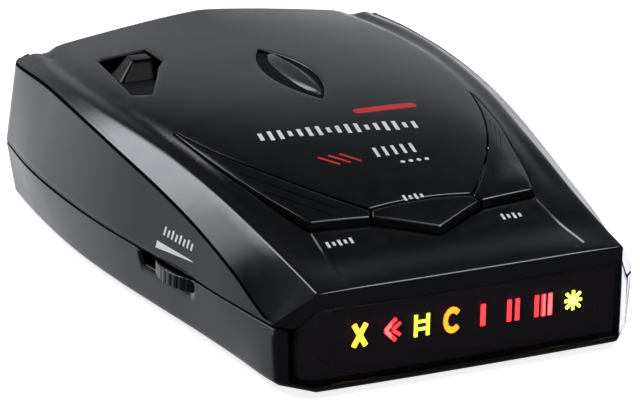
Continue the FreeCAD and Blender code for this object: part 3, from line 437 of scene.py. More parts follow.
CASE = moulded("case_black_satin", (0.0040, 0.0042, 0.0052), (0.0056, 0.0058, 0.0070), (0.17, 0.22),
               depth=0.008)
KEY = moulded("key_black_satin", (0.0034, 0.0037, 0.0046), (0.0050, 0.0053, 0.0064), (0.16, 0.21),
              depth=0.006)
# The release block's black, darker and less glossy than the case plastic: partly its own black, partly
# painted shade for its dark front face.
RELEASE_PAINTED_SHADE = moulded("release_black_painted_shade", (0.0020, 0.0020, 0.0024), (0.0034, 0.0034, 0.0040), (0.2, 0.3),
                  specular=0.16)
# Near-black, barely glossy copy of the case plastic: painted shade, laid in the recess round the release
# block and in the moat round the crown lens.
PAINTED_SHADE = moulded("recess_painted_shade", (0.0020, 0.0020, 0.0024), (0.0036, 0.0036, 0.0040), (0.5, 0.65), specular=0.05)
RUBBER = moulded("foot_rubber_black", (0.016, 0.016, 0.017), (0.03, 0.03, 0.032), (0.7, 0.85), 2600, 0.04)
WHITE_INK = moulded("ink_white", (0.78, 0.78, 0.80), (0.92, 0.92, 0.94), (0.42, 0.55), 7000, 0.006)
RED_INK = moulded("ink_red", (0.52, 0.012, 0.014), (0.72, 0.020, 0.022), (0.40, 0.52), 7000, 0.006)


def smoked(name, tint, rough, ior=1.49, coat=0.0, clear=1.0):
    """Tinted clear plastic that the indicators shine through."""
    material, tree, shader = nodes_of(name)
    lighter = tuple(c * 1.12 for c in tint)
    feed(shader, "Base Color", blended(tree, noise(tree, 60, 3), tint, lighter))
    feed(shader, "Roughness", spread(tree, noise(tree, 420, 5), *rough))
    bump(tree, noise(tree, 240, 2), 0.004, shader)
    feed(shader, "Transmission Weight", clear)
    feed(shader, "IOR", ior)
    feed(shader, "Specular IOR Level", 0.35)
    feed(shader, "Coat Weight", coat)
    feed(shader, "Coat Roughness", 0.05)
    return material


WINDOW = smoked("window_smoked", (0.115, 0.095, 0.125), (0.03, 0.07), 1.02, 0.8)
LENS = smoked("lens_smoked", (0.05, 0.052, 0.055), (0.14, 0.20), clear=0.3)

# The rest of the slots, for the CAD nodes that show as they are.
FINISH = {"case_black": CASE, "key_black": KEY, "smoked_window": WINDOW, "smoked_lens": LENS,
          "foot_rubber": RUBBER}


def finish(slot, *stock, **extras):
    FINISH[slot] = moulded(*stock, **extras)


finish("circuit_green", "solder_resist_green", (0.006, 0.055, 0.022), (0.012, 0.085, 0.034), (0.3, 0.45),
       2400, 0.02, patches=300)
finish("baffle_black", "baffle_black_matt", (0.0020, 0.0020, 0.0022), (0.0034, 0.0034, 0.0038), (0.7, 0.85))
finish("mask_film", "mask_film_black", (0.0012, 0.0012, 0.0014), (0.0020, 0.0020, 0.0024), (0.6, 0.7),
       specular=0.1)
finish("lamp_clear", "lamp_epoxy", (0.62, 0.62, 0.60), (0.74, 0.74, 0.72), (0.12, 0.2))
finish("component_black", "component_epoxy", (0.010, 0.010, 0.011), (0.018, 0.018, 0.020), (0.45, 0.6),
       3800)
finish("rubber_grey", "silicone_grey", (0.20, 0.20, 0.21), (0.27, 0.27, 0.28), (0.55, 0.7), 2600, 0.02)
finish("spring_steel", "drawn_wire", (0.42, 0.42, 0.43), (0.55, 0.55, 0.56), (0.25, 0.35), metallic=1.0,
       stretch=(1, 1, 6))
finish("sheet_steel", "rolled_steel", (0.40, 0.40, 0.41), (0.52, 0.52, 0.53), (0.3, 0.42), 3600, 0.01,
       metallic=1.0, stretch=(0.1, 1, 1))
finish("zinc_cast", "cast_zinc", (0.32, 0.33, 0.34), (0.45, 0.46, 0.47), (0.45, 0.6), 1900, 0.03,
       metallic=1.0)
finish("tinned_can", "tinned_steel", (0.50, 0.50, 0.49), (0.62, 0.62, 0.60), (0.25, 0.35), 2600,
       metallic=1.0)
finish("paper_cone", "paper_cone_grey", (0.045, 0.043, 0.040), (0.075, 0.072, 0.066), (0.8, 0.95), 1800,
       0.06)
finish("felt_black", "felt_black_fibre", (0.008, 0.008, 0.009), (0.018, 0.018, 0.020), (0.9, 1.0), 1500,
       0.1)
finish("label_silver", "label_silver_film", (0.52, 0.52, 0.53), (0.66, 0.66, 0.67), (0.35, 0.5),
       metallic=0.7, patches=200, stretch=(0.05, 1, 1))
finish("screw_steel", "screw_zinc_black", (0.06, 0.06, 0.06), (0.11, 0.11, 0.11), (0.3, 0.45), metallic=1.0)
finish("cable_white", "ribbon_pvc", (0.60, 0.60, 0.58), (0.72, 0.72, 0.70), (0.45, 0.6),
       stretch=(8, 0.2, 0.2))
finish("capacitor_sleeve", "capacitor_film", (0.010, 0.014, 0.045), (0.016, 0.022, 0.070), (0.3, 0.45))
for thing in cad_nodes:
    for place in thing.material_slots:
        if place.material and place.material.name.split(".")[0] in FINISH:
            place.material = FINISH[place.material.name.split(".")[0]]


def glowing(name, colour, strength):
    material, tree, shader = nodes_of(name)
    tone = blended(tree, noise(tree, 900, 2), tuple(c * 0.8 for c in colour), colour)
    feed(shader, "Emission Color", tone)
    feed(shader, "Emission Strength", strength)
    feed(shader, "Base Color", tone)
    feed(shader, "Roughness", spread(tree, noise(tree, 1500, 2), 0.3, 0.5))
    return material


# ---------------------------------------------------------------- stations round the case

def nose_y(x):
    return NOSE_BOW * (np.asarray(x, float) / NOSE_X) ** 2


def bevel_x(y):
    """Half width of the corner bevel, which is an upright plane."""
    return NOSE_X + (y - NOSE_BOW) * (CORNER_X - NOSE_X) / (CORNER_Y - NOSE_BOW)


def bevel_y(x):
    return NOSE_BOW + (x - NOSE_X) * (CORNER_Y - NOSE_BOW) / (CORNER_X - NOSE_X)


FRONT_X = np.linspace(-NOSE_X, NOSE_X, 45)
FRONT = np.stack([FRONT_X, nose_y(FRONT_X)], 1)
POST_X = 30.75
POST_Y = bevel_y(POST_X)
CORNER_YS = np.concatenate([np.linspace(NOSE_BOW, POST_Y, 5), np.linspace(POST_Y, CORNER_Y, 4)[1:]])
SIDE_YS = np.concatenate([np.linspace(CORNER_Y, 30, 22), np.linspace(30, 46, 15)[1:],
                          np.linspace(46, TAIL_START, 50)[1:]])
TAIL_YS = TAIL_START + TAIL_ROUND * np.sin(np.linspace(0, math.pi / 2, 8))
REAR_X = np.linspace(-1, 1, 45)
FLANK_YS = np.concatenate([CORNER_YS, SIDE_YS[1:], TAIL_YS[1:]])


def round_case(flank):
    """The closed plan outline whose right-hand side is given."""
    rear = np.stack([-REAR_X[1:-1] * flank[-1, 0], np.full(len(REAR_X) - 2, LENGTH)], 1)
    return np.concatenate([FRONT[:-1], flank, rear, mirrored(flank)[:-1]])


def tail_turn(y):
    """How far round the rear corner a point is, from 0 to 1."""
    t = np.clip((np.asarray(y, float) - TAIL_START) / TAIL_ROUND, 0, 1)
    return 1 - np.sqrt(1 - t**2)


def wall_x(y, z, name="side"):
    """Half width of the case at the parting line and above it."""
    y = np.asarray(y, float)
    full = along(name, y) - TAIL_ROUND * tail_turn(y) - draft(y) * (z - PARTING) * (1 - tail_turn(y))
    front = bevel_x(y) if name == "side" else bevel_x(y) - (CORNER_X - along(name, CORNER_Y))
    return np.where(y < CORNER_Y, front, full)


def flank_end(y):
    """Outer edge of the band beside the ridge: on the corner bevel, the groove or the rear corner."""
    y = np.asarray(y, float)
    ridge, top = along("ridge", y), along("ridge_z", y)
    groove_z = along("groove", y)
    groove_x = along("side", y) - draft(y) * (groove_z - PARTING)
    turn = tail_turn(y)
    end_x = groove_x + (ridge - groove_x) * turn
    end_z = groove_z + (top - groove_z) * turn
    front = y < CORNER_Y
    share = (y - NOSE_BOW) / (CORNER_Y - NOSE_BOW)
    cut_z = along("ridge_z", NOSE_BOW) * (1 - share) + along("groove", CORNER_Y) * share
    return np.where(front, bevel_x(y), end_x), np.where(front, cut_z, end_z)


GROOVE_HALF = 0.34
GROOVE_DEEP = 0.95


def groove_share(y):
    return ease(CORNER_Y, CORNER_Y + 3, y) * (1 - ease(TAIL_START, LENGTH - 0.4, y))


WINDOW_LOW, WINDOW_HIGH = 1.5, 14.4
WINDOW_END_X, WINDOW_END_HIGH = 30.6, 10.3


def window_high(x):
    """Upper edge of the window, which falls away over the corner bevels."""
    past = np.maximum(np.abs(x) - NOSE_X, 0)
    return WINDOW_HIGH + past * (WINDOW_END_HIGH - WINDOW_HIGH) / (WINDOW_END_X - NOSE_X)


def fascia_low(x):
    """Lower edge of the cover over the window and on the corner bevels."""
    return np.maximum(window_high(x), PARTING) + SEAM


KEY_HOLE = outline([
    (0, 11.8), (10.25, 16.95), (20.8, 18.6, 1.2), (28.4, 55.5, -2.9), (9.45, 18.9, 0.7), (-9.45, 18.9, -2.9),
    (-28.4, 55.5, 1.2), (-20.8, 18.6), (-10.25, 16.95),
])
RIGHT_WING = [(10.4, 17.0), (20.8, 18.6, 1.2), (28.4, 55.5, -2.9), (9.6, 18.9)]
CHEVRON = [(0, 11.8), (10.1, 17.0), (9.3, 18.9, 0.7), (-9.3, 18.9), (-10.1, 17.0)]
SHIELD = outline([(9.45, 18.9, 0.7), (-9.45, 18.9, -2.9), (-28.4, 55.5), (-28.4, 112), (28.4, 112),
                  (28.4, 55.5, -2.9)])
LEAF = outline([(0, 56.4, 4.1), (0, 82.5, 4.1)], 0.5)
RIDGE_X = 1.3
GLASS_X, GLASS_HALF, GLASS_FRONT, GLASS_BACK = 0.35, 3.05, 57.7, 81.1
GLASS = outline([(GLASS_X, GLASS_FRONT, GLASS_HALF), (GLASS_X, GLASS_BACK, GLASS_HALF)], 0.4)
RECESS = rounded([(-28.3, 73.6), (-25.4, 71.4), (-21.6, 78.2), (-19.4, 82.5), (-17.4, 85.0), (-17.4, 92.2),
                  (-26.4, 93.0)], 0.3)
KEY_GAP, KEY_CORNER, HOLE_ROUND = 0.32, 0.42, 0.3
BLOCK = box(-25, 85.7, -18, 91.3)
BLOCK_MIDDLE, HEAD_MIDDLE, HEAD_SHARE = (-21.5, 88.5), (-19.9, 89.75), (0.54, 0.5)
BLOCK_LOW, BLOCK_BEND, BLOCK_TOP, BLOCK_ROUND = 21.4, 26.2, 29.3, 0.3
BLOCK_CORNER, BLOCK_GAP = 0.5, 0.35
RECESS_FLOOR, RAMP_START, RAMP_RUN = 26.2, 71.5, 13.5
REAR_LENS, BRACKET_SLOT = box(17.35, 12.35, 30.65, 21.15), box(-29.4, 15.4, -12.6, 18.2)
REAR_ROUND = 0.25
WHEEL_CENTRE, WHEEL_RADIUS, WHEEL_TOP, WHEEL_THICK = (-26.4, 38), 11.9, 10.15, 2.2


def key_round(plan, radius):
    """Rounding of a key's edge, which fades out towards the long tips."""
    return radius * (0.16 + 0.84 * (1 - ease(19, 30, plan[:, 1])))


def cover_top(plan, drop=0.0):
    x, y = plan[:, 0], plan[:, 1]
    z = np.where(inside(SHIELD, plan), roof(x, y), apron(x, y))
    return level(plan, z - drop)


def recess_z(plan):
    x, y = plan[:, 0], plan[:, 1]
    top = roof(x, y)
    return np.minimum(top - 0.35, top + (RECESS_FLOOR - top) * np.clip((y - RAMP_START) / RAMP_RUN, 0, 1))


def top_cover():
    mesh = Mesh()
    flank = np.stack([along("ridge", FLANK_YS), FLANK_YS], 1)
    edge = round_case(flank)
    keys = offset(KEY_HOLE, KEY_GAP)
    holes = [(keys, lambda p: key_round(p, 0.28)), (LEAF, HOLE_ROUND), (RECESS, HOLE_ROUND)]
    inner = offset(edge, -1.1)
    lines = [np.concatenate([inner, inner[:1]])]
    ys = np.linspace(6, 104, 90)
    for away in (1.8, 2.6, 3.4, 4.4):
        lines += [np.stack([side * (along("ridge", ys) - away), ys], 1) for side in (-1, 1)]
    ys = np.linspace(1.5, 17, 14)
    lines += [np.stack([side * (SHOULDER * along("ridge", ys)), ys], 1) for side in (-1, 1)]
    mesh.region([edge] + [hole for hole, _ in holes], cover_top, holes, 1.2, lines, clear=1.5)
    bottoms = (lambda p: roof_of(p) - 2.6, lambda p: roof_of(p) - 1.6, recess_z)
    for (loop, radius), bottom in zip(holes, bottoms):
        top = cover_top(loop, radius(loop) if callable(radius) else radius)
        low = np.minimum(bottom(loop), top[:, 2])
        mesh.sheet([top, level(loop, low)], closed=True)
    block_hole = offset(rounded(BLOCK, BLOCK_CORNER), BLOCK_GAP)
    # The recess floor, the ramp in front of the release block and the walls round the block are laid in the
    # near-black material: painted shade in the recess.
    ramp = Mesh()
    ramp.region([RECESS, block_hole], lambda p, d: level(p, recess_z(p)), (), 1.0)
    ramp.sheet([level(block_hole, recess_z(block_hole) - down) for down in (0, 1.2)], closed=True)
    ramp.build("release_ramp", "case", PAINTED_SHADE)

    # bands beside the ridges, the groove and the side panels
    ridge = cover_top(flank)
    end_x, end_z = flank_end(FLANK_YS)
    end = np.stack([end_x, FLANK_YS, end_z], 1)
    end[0], end[-1] = ridge[0], ridge[-1]
    for side in (-1, 1):
        turned = np.array([side, 1, 1])
        rows = [(ridge + (end - ridge) * v) * turned for v in (0, 0.3, 0.5, 0.7, 0.88, 1)]
        share = groove_share(FLANK_YS)[:, None]
        down = np.stack([draft(FLANK_YS), np.zeros(len(FLANK_YS)), np.full(len(FLANK_YS), -1.0)], 1)
        for v in (0.02, 0.1, 0.3, 0.5, 0.7, 0.9, 0.97, 1):
            inward = -GROOVE_DEEP * math.sin(math.pi * v) ** 0.3
            shift = np.array([inward, 0, 0]) * share + down * (2 * GROOVE_HALF * v) * share
            rows.append((end + shift) * turned)
        foot = end + down * 2 * GROOVE_HALF * share
        low_z = np.where(FLANK_YS < CORNER_Y, fascia_low(end_x), PARTING + SEAM)
        low = np.stack([wall_x(FLANK_YS, low_z), FLANK_YS, low_z], 1)
        rows += [(foot + (low - foot) * v) * turned for v in (0.25, 0.5, 0.75, 0.93, 1)]
        mesh.sheet(rows)
        if side > 0:
            last = np.array(rows)[-6:, -1]

    # fascia over the window
    nose = cover_top(FRONT)
    low = level(FRONT, fascia_low(FRONT_X))
    mesh.sheet([nose + (low - nose) * v for v in (0, 0.25, 0.5, 0.75, 0.93, 1)])

    # rear wall with the laser lens and the bracket slot
    crest = cover_top(np.stack([REAR_X * ridge[-1, 0], np.full(len(REAR_X), LENGTH)], 1))
    crest[0, 2] = crest[-1, 2] = ridge[-1, 2]
    base_x = float(wall_x(LENGTH, PARTING + SEAM))
    base = np.stack([REAR_X[::-1] * base_x, np.full(len(REAR_X), PARTING + SEAM)], 1)
    right = last[1:-1, [0, 2]]
    loop = np.concatenate([crest[:, [0, 2]], right, base, mirrored(right)])[::-1]
    lens, slot = rounded(REAR_LENS, 0.8), rounded(BRACKET_SLOT, 0.5)
    mesh.region([loop, lens, slot], lambda p, d: upright(p, LENGTH - d),
                [(lens, REAR_ROUND), (slot, REAR_ROUND)], 1.6)
    for hole in (lens, slot):
        mesh.sheet([upright(hole, LENGTH - away) for away in (REAR_ROUND, 2.0)], closed=True)

    def rule(on, axis, weight):
        """Bevel weight of the edges that run along an axis with both ends on a line."""
        return lambda a, b: weight(a, b) if on(a) and on(b) and abs(a[axis] - b[axis]) > 1e-3 else 0

    def on_ridge(p):
        return (p[1] > NOSE_BOW - 0.02 and abs(abs(p[0]) - along("ridge", p[1])) < 0.03
                and abs(p[2] - roof(along("ridge", p[1]), p[1])) < 0.02)

    def on_nose(p):
        return abs(p[1] - nose_y(p[0])) < 0.02 and abs(p[2] - np.interp(p[0], nose[:, 0], nose[:, 2])) < 0.03

    def on_crest(p):
        return abs(p[1] - LENGTH) < 0.01 and abs(p[2] - np.interp(p[0], crest[:, 0], crest[:, 2])) < 0.04

    rules = [rule(on_ridge, 1, lambda a, b: float(0.4 + 0.6 * ease(4, 60, a[1]) - ease(92, 103, a[1]))),
             rule(on_nose, 0, lambda a, b: 0.7 - 0.3 * float(ease(20, 26, abs(a[0] + b[0]) / 2))),
             rule(on_crest, 0, lambda a, b: 0.8)]
    mesh.build("top_shell", "case", CASE, ["top_cover"], rules, bevel=0.6,
               outward=(0, 0, 1), thick=0.3)


def slab(name, body, material, loop, top, thick, fillet, spacing=0.8, replaces=(), lines=()):
    """A plate under a surface: rounded over at its edge, with straight sides and a plain underside."""
    mesh = Mesh()
    mesh.region([loop], lambda p, d: level(p, top(p) - d), [(loop, fillet)], spacing, lines)
    rim = level(loop, top(loop) - (fillet(loop) if callable(fillet) else fillet))
    foot = level(loop, top(loop) - thick)
    mesh.sheet([rim, foot], closed=True)
    mesh.region([loop], lambda p, d: level(p, top(p) - thick), (), spacing * 3)
    mesh.build(name, body, material, replaces)


WING_PATH = outline(RIGHT_WING[2:], 0.5)
WING_PATH = WING_PATH[:len(WING_PATH) // 2]    # the bowed inner edge, without the way back


def wing_top(side):
    """A wing key's surface: the roof, with a finger scoop on the right-hand key."""
    def height(plan):
        x, y = plan[:, 0] * side, plan[:, 1]
        if side < 0:
            return roof(x, y)
        away = np.sqrt(((np.stack([x, y], 1)[:, None] - WING_PATH[None]) ** 2).sum(2)).min(1)
        return roof(x, y) - 0.5 * ease(1.2, 4.0, away) * ease(21, 30, y) * (1 - ease(34, 44, y))
    return height


def wing_ribs(side, name, places, width, low, high):
    """Fine raised ribs along a wing key's inner edge."""
    out = -beside(np.gradient(WING_PATH, axis=0))
    top, shapes = wing_top(side), []
    safe = offset(outline(RIGHT_WING, 0.5), -0.45)
    for place in places:
        lines = [WING_PATH + out * at for at in (place - width / 2, place + width / 2)]
        good = (WING_PATH[:, 1] > low) & (WING_PATH[:, 1] < high)
        good &= inside(safe, lines[0]) & inside(safe, lines[1])
        sides = [line[good] for line in lines]
        shape = np.concatenate([sides[0], sides[1][::-1]]) * [side, 1]
        area = (shape[:, 0] * np.roll(shape[:, 1], -1) - shape[:, 1] * np.roll(shape[:, 0], -1)).sum()
        shapes.append(shape if area > 0 else shape[::-1])
    plate(name + "_ribs", shapes, lambda p, lift: level(p, top(p) + lift), KEY, name, 0.1)


def keys():
    for side, name in ((-1, "left_wing"), (1, "right_wing")):
        loop = outline(RIGHT_WING, 0.5)
        if side < 0:
            loop = mirrored(loop)
        slab(name + "_cap", name, KEY, loop, wing_top(side), 1.9, lambda p: key_round(p, KEY_CORNER),
             0.42, [name + "_key"])
    slab("chevron_cap", "chevron", KEY, outline(CHEVRON, 0.5), roof_of, 2.3, 0.5, 0.7,
         ["chevron_key"])


def leaf_lens():
    """The crown lens stands in a moat whose floor is painted near black as shade; the lens is steep on the
    left of its ridge line, sloping on the right.
    """
    middle, reach = (GLASS_FRONT + GLASS_BACK) / 2, (GLASS_BACK - GLASS_FRONT) / 2

    def height(plan):
        x, y = plan[:, 0] - RIDGE_X, plan[:, 1]
        bow = np.maximum(1 - ((y - middle) / reach) ** 2, 0.04)
        left = 1 - np.clip(-x / ((GLASS_HALF + RIDGE_X - GLASS_X) * bow), 0, 1) ** 3.0
        right = 1 - np.clip(x / ((GLASS_HALF - RIDGE_X + GLASS_X) * bow), 0, 1) ** 1.1
        lean = 0.28 * np.clip(-x, 0, 4) * bow
        return roof_of(plan) - 0.5 + 1.1 * np.where(x < 0, left, right) * bow ** 0.5 - lean
    ridge_line = np.stack([np.full(30, RIDGE_X), np.linspace(59.4, 79.2, 30)], 1)
    slab("leaf_lens", "case", LENS, GLASS, height, 1.3, 0.15, 0.35, ["crown_lens"],
         [ridge_line])
    # The moat's floor is a near-black sheet: painted shade between the lens and the edge of its hole.
    slab("leaf_moat", "case", PAINTED_SHADE, offset(LEAF, -0.05), lambda p: roof_of(p) - 0.35, 0.6, 0.05, 1.0)


def window():
    """The bent front lens: two upright skins a wall apart, closed round the edge."""
    bend = np.array([NOSE_X, NOSE_BOW])
    run = np.array([WINDOW_END_X, bevel_y(WINDOW_END_X)]) - bend
    length, soft, rim, wall = np.hypot(*run), 0.5, 0.3, 1.6
    way = run / length
    right = [bend + way * t for t in np.linspace(soft, length, 5)]
    turn = [(1 - t) ** 2 * (bend - [soft, 0]) + 2 * t * (1 - t) * bend + t**2 * (bend + way * soft)
            for t in np.linspace(0, 1, 5)]
    flat = [np.array([x, float(nose_y(x))]) for x in np.linspace(0, NOSE_X - soft, 20)]
    half = np.array(flat[:-1] + turn + right[1:])
    path = np.concatenate([mirrored(half)[:-1], half])
    inward = -beside(np.gradient(path, axis=0))
    high = window_high(path[:, 0])
    profile = [(rim, 0)] + [(rim * (1 - math.sin(a)), rim * (1 - math.cos(a)))
                            for a in np.linspace(0, math.pi / 2, 5)[1:]]
    rows = [level(path + inward * deep, WINDOW_LOW + inset) for inset, deep in profile[::-1]]
    rows += [level(path, WINDOW_LOW + rim + (high - WINDOW_LOW - 2 * rim) * share)
             for share in (0.25, 0.5, 0.75)]
    rows += [level(path + inward * deep, high - inset) for inset, deep in profile]
    rows += [level(path + inward * wall, high), level(path + inward * wall, WINDOW_LOW)]
    mesh = Mesh()
    mesh.sheet(rows + [rows[0]])
    for j in (0, -1):
        mesh.add([row[j] for row in rows], [list(range(len(rows)))])
    mesh.build("front_window", "case", WINDOW, ["display_window"])


GRILLE = [3.0 * k for k in range(-3, 4)]
GRILLE_X, GRILLE_Y, GRILLE_RADIUS, SLIT_HALF = 19, 40, 10, 0.6
LABEL = box(-20.1, 54.9, 20.1, 80.1)
SCREWS = [(side * x, y) for side in (-1, 1) for x, y in ((26.2, 16), (33, 97))]
FEET = [(side * 27, y) for side in (-1, 1) for y in (25, 88)]
SLOT_START, SLOT_END, SLOT_LOW = 30.0, 46.0, 7.6    # the opening that the thumbwheel looks out of
JACKS = ((60, 7.8), (72, 7.8))
JACK_RADIUS, JACK_ROUND = 2.75, 0.2


def bottom_cover():
    mesh = Mesh()
    ys = FLANK_YS
    edge = 1.4
    lip = 1.5 - SEAM
    corner = len(CORNER_YS) - 1

    def ring_row(inset, z, share):
        """The loop round the case at a height; share runs from the floor's width to the parting line's."""
        flank_x = wall_x(ys, PARTING, "floor") * (1 - share) + wall_x(ys, PARTING) * share
        if share < 1:
            flank_x[:corner + 1] += (NOSE_X - flank_x[0]) * np.linspace(1, 0, corner + 1)
        loop = round_case(np.stack([flank_x, ys], 1))
        return level(offset(loop, -inset) if inset else loop, z)

    rows = [ring_row(edge * (1 - math.sin(a)), edge * (1 - math.cos(a)), 0)
            for a in np.linspace(0, math.pi / 2, 6)]
    mesh.sheet(rows[:-1] + [ring_row(0, lip, 0)], closed=True)
    floor = rows[0][:, :2]
    first = len(FRONT_X) - 1
    count = len(rows[0])
    post = int(np.argmax(bevel_x(ys) > POST_X - 0.01))
    levels = [lip, 2.6, 4.2, 5.9, SLOT_LOW, 8.6, 9.6, PARTING - SEAM - 0.12, PARTING - SEAM]
    upper = [ring_row(0.12 if z == levels[-1] else 0, z, (z - lip) / (PARTING - lip)) for z in levels]
    right = range(first, first + len(ys))

    def column(j):
        """How far back a column of the loop is, with its side; None in front."""
        if j in right:
            return 1, ys[j - first]
        if j >= count - len(ys):
            return -1, ys[count - 1 - j]
        return (0, LENGTH) if j >= first else (0, 0.0)

    jack_low, jack_high = ys[ys < 55][-1], ys[ys > 77][0]

    def skipped(i, j):
        a, b = column(j), column((j + 1) % count)
        if a[1] == 0.0 or b[1] == 0.0:
            return True
        mean = (a[1] + b[1]) / 2
        side = a[0] or b[0]
        if mean < ys[post]:
            return True
        if side < 0 and SLOT_START < mean < SLOT_END and levels[i] >= SLOT_LOW:
            return True
        return side > 0 and jack_low < mean < jack_high and levels[i + 1] < PARTING - SEAM - 0.01

    mesh.sheet(upper, closed=True, skip=skipped)

    # the panel with the two jack holes
    inner = [j for j in right if jack_low <= ys[j - first] <= jack_high]
    grid = np.array(upper[:-1])[:, inner]
    loop = np.concatenate([grid[0], grid[1:-1, -1], grid[-1][::-1], grid[1:-1, 0][::-1]])[:, 1:]
    holes = [ring(centre, JACK_RADIUS) for centre in JACKS]

    def panel(p, d):
        share = (p[:, 1] - lip) / (PARTING - lip)
        x = along("floor", p[:, 0]) * (1 - share) + along("side", p[:, 0]) * share
        return np.column_stack([x - d, p[:, 0], p[:, 1]])

    mesh.region([loop] + holes, panel, [(hole, JACK_ROUND) for hole in holes], 1.1)
    for hole in holes:
        mesh.sheet([panel(hole, JACK_ROUND), panel(hole, 2.2)], closed=True)

    # the floor's cuts: loop, edge rounding and depth
    cuts = []
    for step in GRILLE:
        reach, y = math.sqrt(GRILLE_RADIUS**2 - step**2), GRILLE_Y + step
        slit = box(GRILLE_X - reach, y - SLIT_HALF, GRILLE_X + reach, y + SLIT_HALF)
        cuts.append((rounded(slit, SLIT_HALF - 0.02), 0.12, 1.8))
    cuts += [(ring(place, 2.4), 0.15, 1.7) for place in SCREWS]
    cuts += [(ring(place, 4.15, 40), 0.1, 0.35) for place in FEET]
    cuts.append((rounded(LABEL, 1.0), 0.08, 0.16))
    mesh.region([floor] + [cut[0] for cut in cuts], level,
                [(cut[0], cut[1]) for cut in cuts], 3.0, steps=2)
    for hole, radius, deep in cuts:
        mesh.sheet([level(hole, z) for z in (radius, deep)], closed=True)
        if deep < 0.5:
            mesh.region([hole], lambda p, d, z=deep: level(p, z), (), 3.0)
    mesh.build("bottom_shell", "case", CASE, ["bottom_cover"], outward=(0, 0, -1),
               thick=1.2)


def block():
    """Release block: a wedge that narrows upwards, with a raked front."""
    foot = rounded(BLOCK, BLOCK_CORNER)
    head = (foot - BLOCK_MIDDLE) * HEAD_SHARE + HEAD_MIDDLE
    shoulder = BLOCK_TOP - BLOCK_ROUND
    mesh = Mesh()
    mesh.region([foot], lambda p, d: level(p, BLOCK_LOW), (), 1.5)
    rows = [level(foot, BLOCK_LOW), level(foot, BLOCK_BEND)]
    rows += [level(foot + (head - foot) * v, BLOCK_BEND + (shoulder - BLOCK_BEND) * v)
             for v in (0.2, 0.4, 0.6, 0.8, 1)]
    for a in np.linspace(0, math.pi / 2, 5)[1:]:
        rows.append(level(offset(head, np.full(len(head), -BLOCK_ROUND * (1 - math.cos(a)))),
                          shoulder + BLOCK_ROUND * math.sin(a)))
    mesh.sheet(rows, closed=True)
    mesh.region([rows[-1][:, :2]], lambda p, d: level(p, BLOCK_TOP), (), 0.7)
    # The darker material paints shade onto the block's front face.
    mesh.build("release_block", "release", RELEASE_PAINTED_SHADE, ["release_button"])


def wheel():
    """The thumbwheel, with fine flutes round its edge."""
    flutes = 48
    angle = np.linspace(0, 2 * math.pi, flutes * 8, endpoint=False)
    radius = WHEEL_RADIUS - 0.09 * np.maximum(np.cos(angle * flutes), 0) ** 2
    loop = WHEEL_CENTRE + np.stack([radius * np.cos(angle), radius * np.sin(angle)], 1)
    slab("thumb_wheel", "volume", KEY, loop, lambda p: np.full(len(p), WHEEL_TOP), WHEEL_THICK, 0.18, 2.0,
         ["volume_wheel"])


def feet():
    mesh = Mesh()
    profile = [(0.01, 0.3), (4.0, 0.3), (4.0, -0.25), (3.9, -0.45), (3.7, -0.56), (3.4, -0.6), (2.4, -0.6),
               (2.2, -0.5), (0.01, -0.5)]
    for centre in FEET:
        mesh.sheet([level(ring(centre, r, 40), z) for r, z in profile], closed=True)
    mesh.build("foot_discs", "case", RUBBER, ["foot_pads"])


def plate(name, shapes, surface, material, body="case", lift=0.02, spacing=0.7):
    """Ink or low relief: shapes laid on a surface."""
    mesh = Mesh()
    for shape in shapes:
        loop = resample(np.array(shape, float), spacing)
        mesh.region([loop], lambda p, d: surface(p, lift), (), spacing)
        mesh.sheet([surface(loop, lift), surface(loop, -0.03)], closed=True)
    mesh.build(name, body, material)


top_cover()
keys()
wing_ribs(1, "right_wing", (0.8, 1.5, 2.2), 0.28, 26, 44)
wing_ribs(-1, "left_wing", (2.2, 4.4), 0.3, 22, 43)
leaf_lens()
window()
bottom_cover()
block()
wheel()
feet()

# ---------------------------------------------------------------- indicators behind the window

AMBER, LIME, RED = (1.0, 0.24, 0.01), (0.70, 0.85, 0.04), (1.0, 0.03, 0.03)


def bar(x0, y0, x1, y1, width):
    """A straight stroke as a rectangle, counter-clockwise."""
    run = np.array([x1 - x0, y1 - y0], float)
    across = np.array([run[1], -run[0]]) / np.hypot(*run) * width / 2
    a, b = np.array([x0, y0]), np.array([x1, y1])
    return [a + across, b + across, b - across, a - across]


def arc_band(radius, width, first, last, squash):
    """Part of a flattened ring, from one angle to another."""
    angles = np.radians(np.linspace(first, last, 14))
    outer, inner = [[(r * math.cos(a), r * math.sin(a) * squash) for a in angles]
                    for r in (radius + width / 2, radius - width / 2)]
    return outer + inner[::-1]


def indicator_shapes():
    """Plain symbols, each about 3.2 wide and 4.2 high, round their own middle."""
    tall = 1.9
    yield "cross", (1.0, 0.36, 0.01), [bar(-1.1, -tall, 1.1, tall, 0.85), bar(-1.1, tall, 1.1, -tall, 0.85)]
    yield "darts", RED, ([bar(0.9, z, -1.0, 0, 0.7) for z in (-tall, tall)]
                         + [bar(1.7, z, 0.3, 0, 0.6) for z in (-1.1, 1.1)])
    yield "ladder", LIME, ([bar(x, -tall, x, tall, 0.65) for x in (-1.1, 1.1)]
                           + [bar(-1.1, z, 1.1, z, 0.55) for z in (0.65, -0.65)])
    yield "open_ring", AMBER, [arc_band(1.3, 0.8, 40, 320, 1.35)]
    yield "one_bar", RED, [bar(0, -tall, 0, tall, 0.9)]
    yield "two_bars", RED, [bar(x, -tall, x, tall, 0.8) for x in (-0.75, 0.75)]
    yield "three_bars", RED, [bar(x, -tall, x, tall, 0.75) for x in (-1.25, 0, 1.25)]
    yield "burst", LIME, [bar(-x, -z, x, z, 0.5) for x, z in ((1.3, 1.3), (1.3, -1.3), (0, 1.7), (1.6, 0))]


INDICATOR_GAP, INDICATOR_Z, INDICATOR_Y = 5.6, 8.6, 1.72


def behind_window(p, lift):
    return upright(p, INDICATOR_Y - lift)


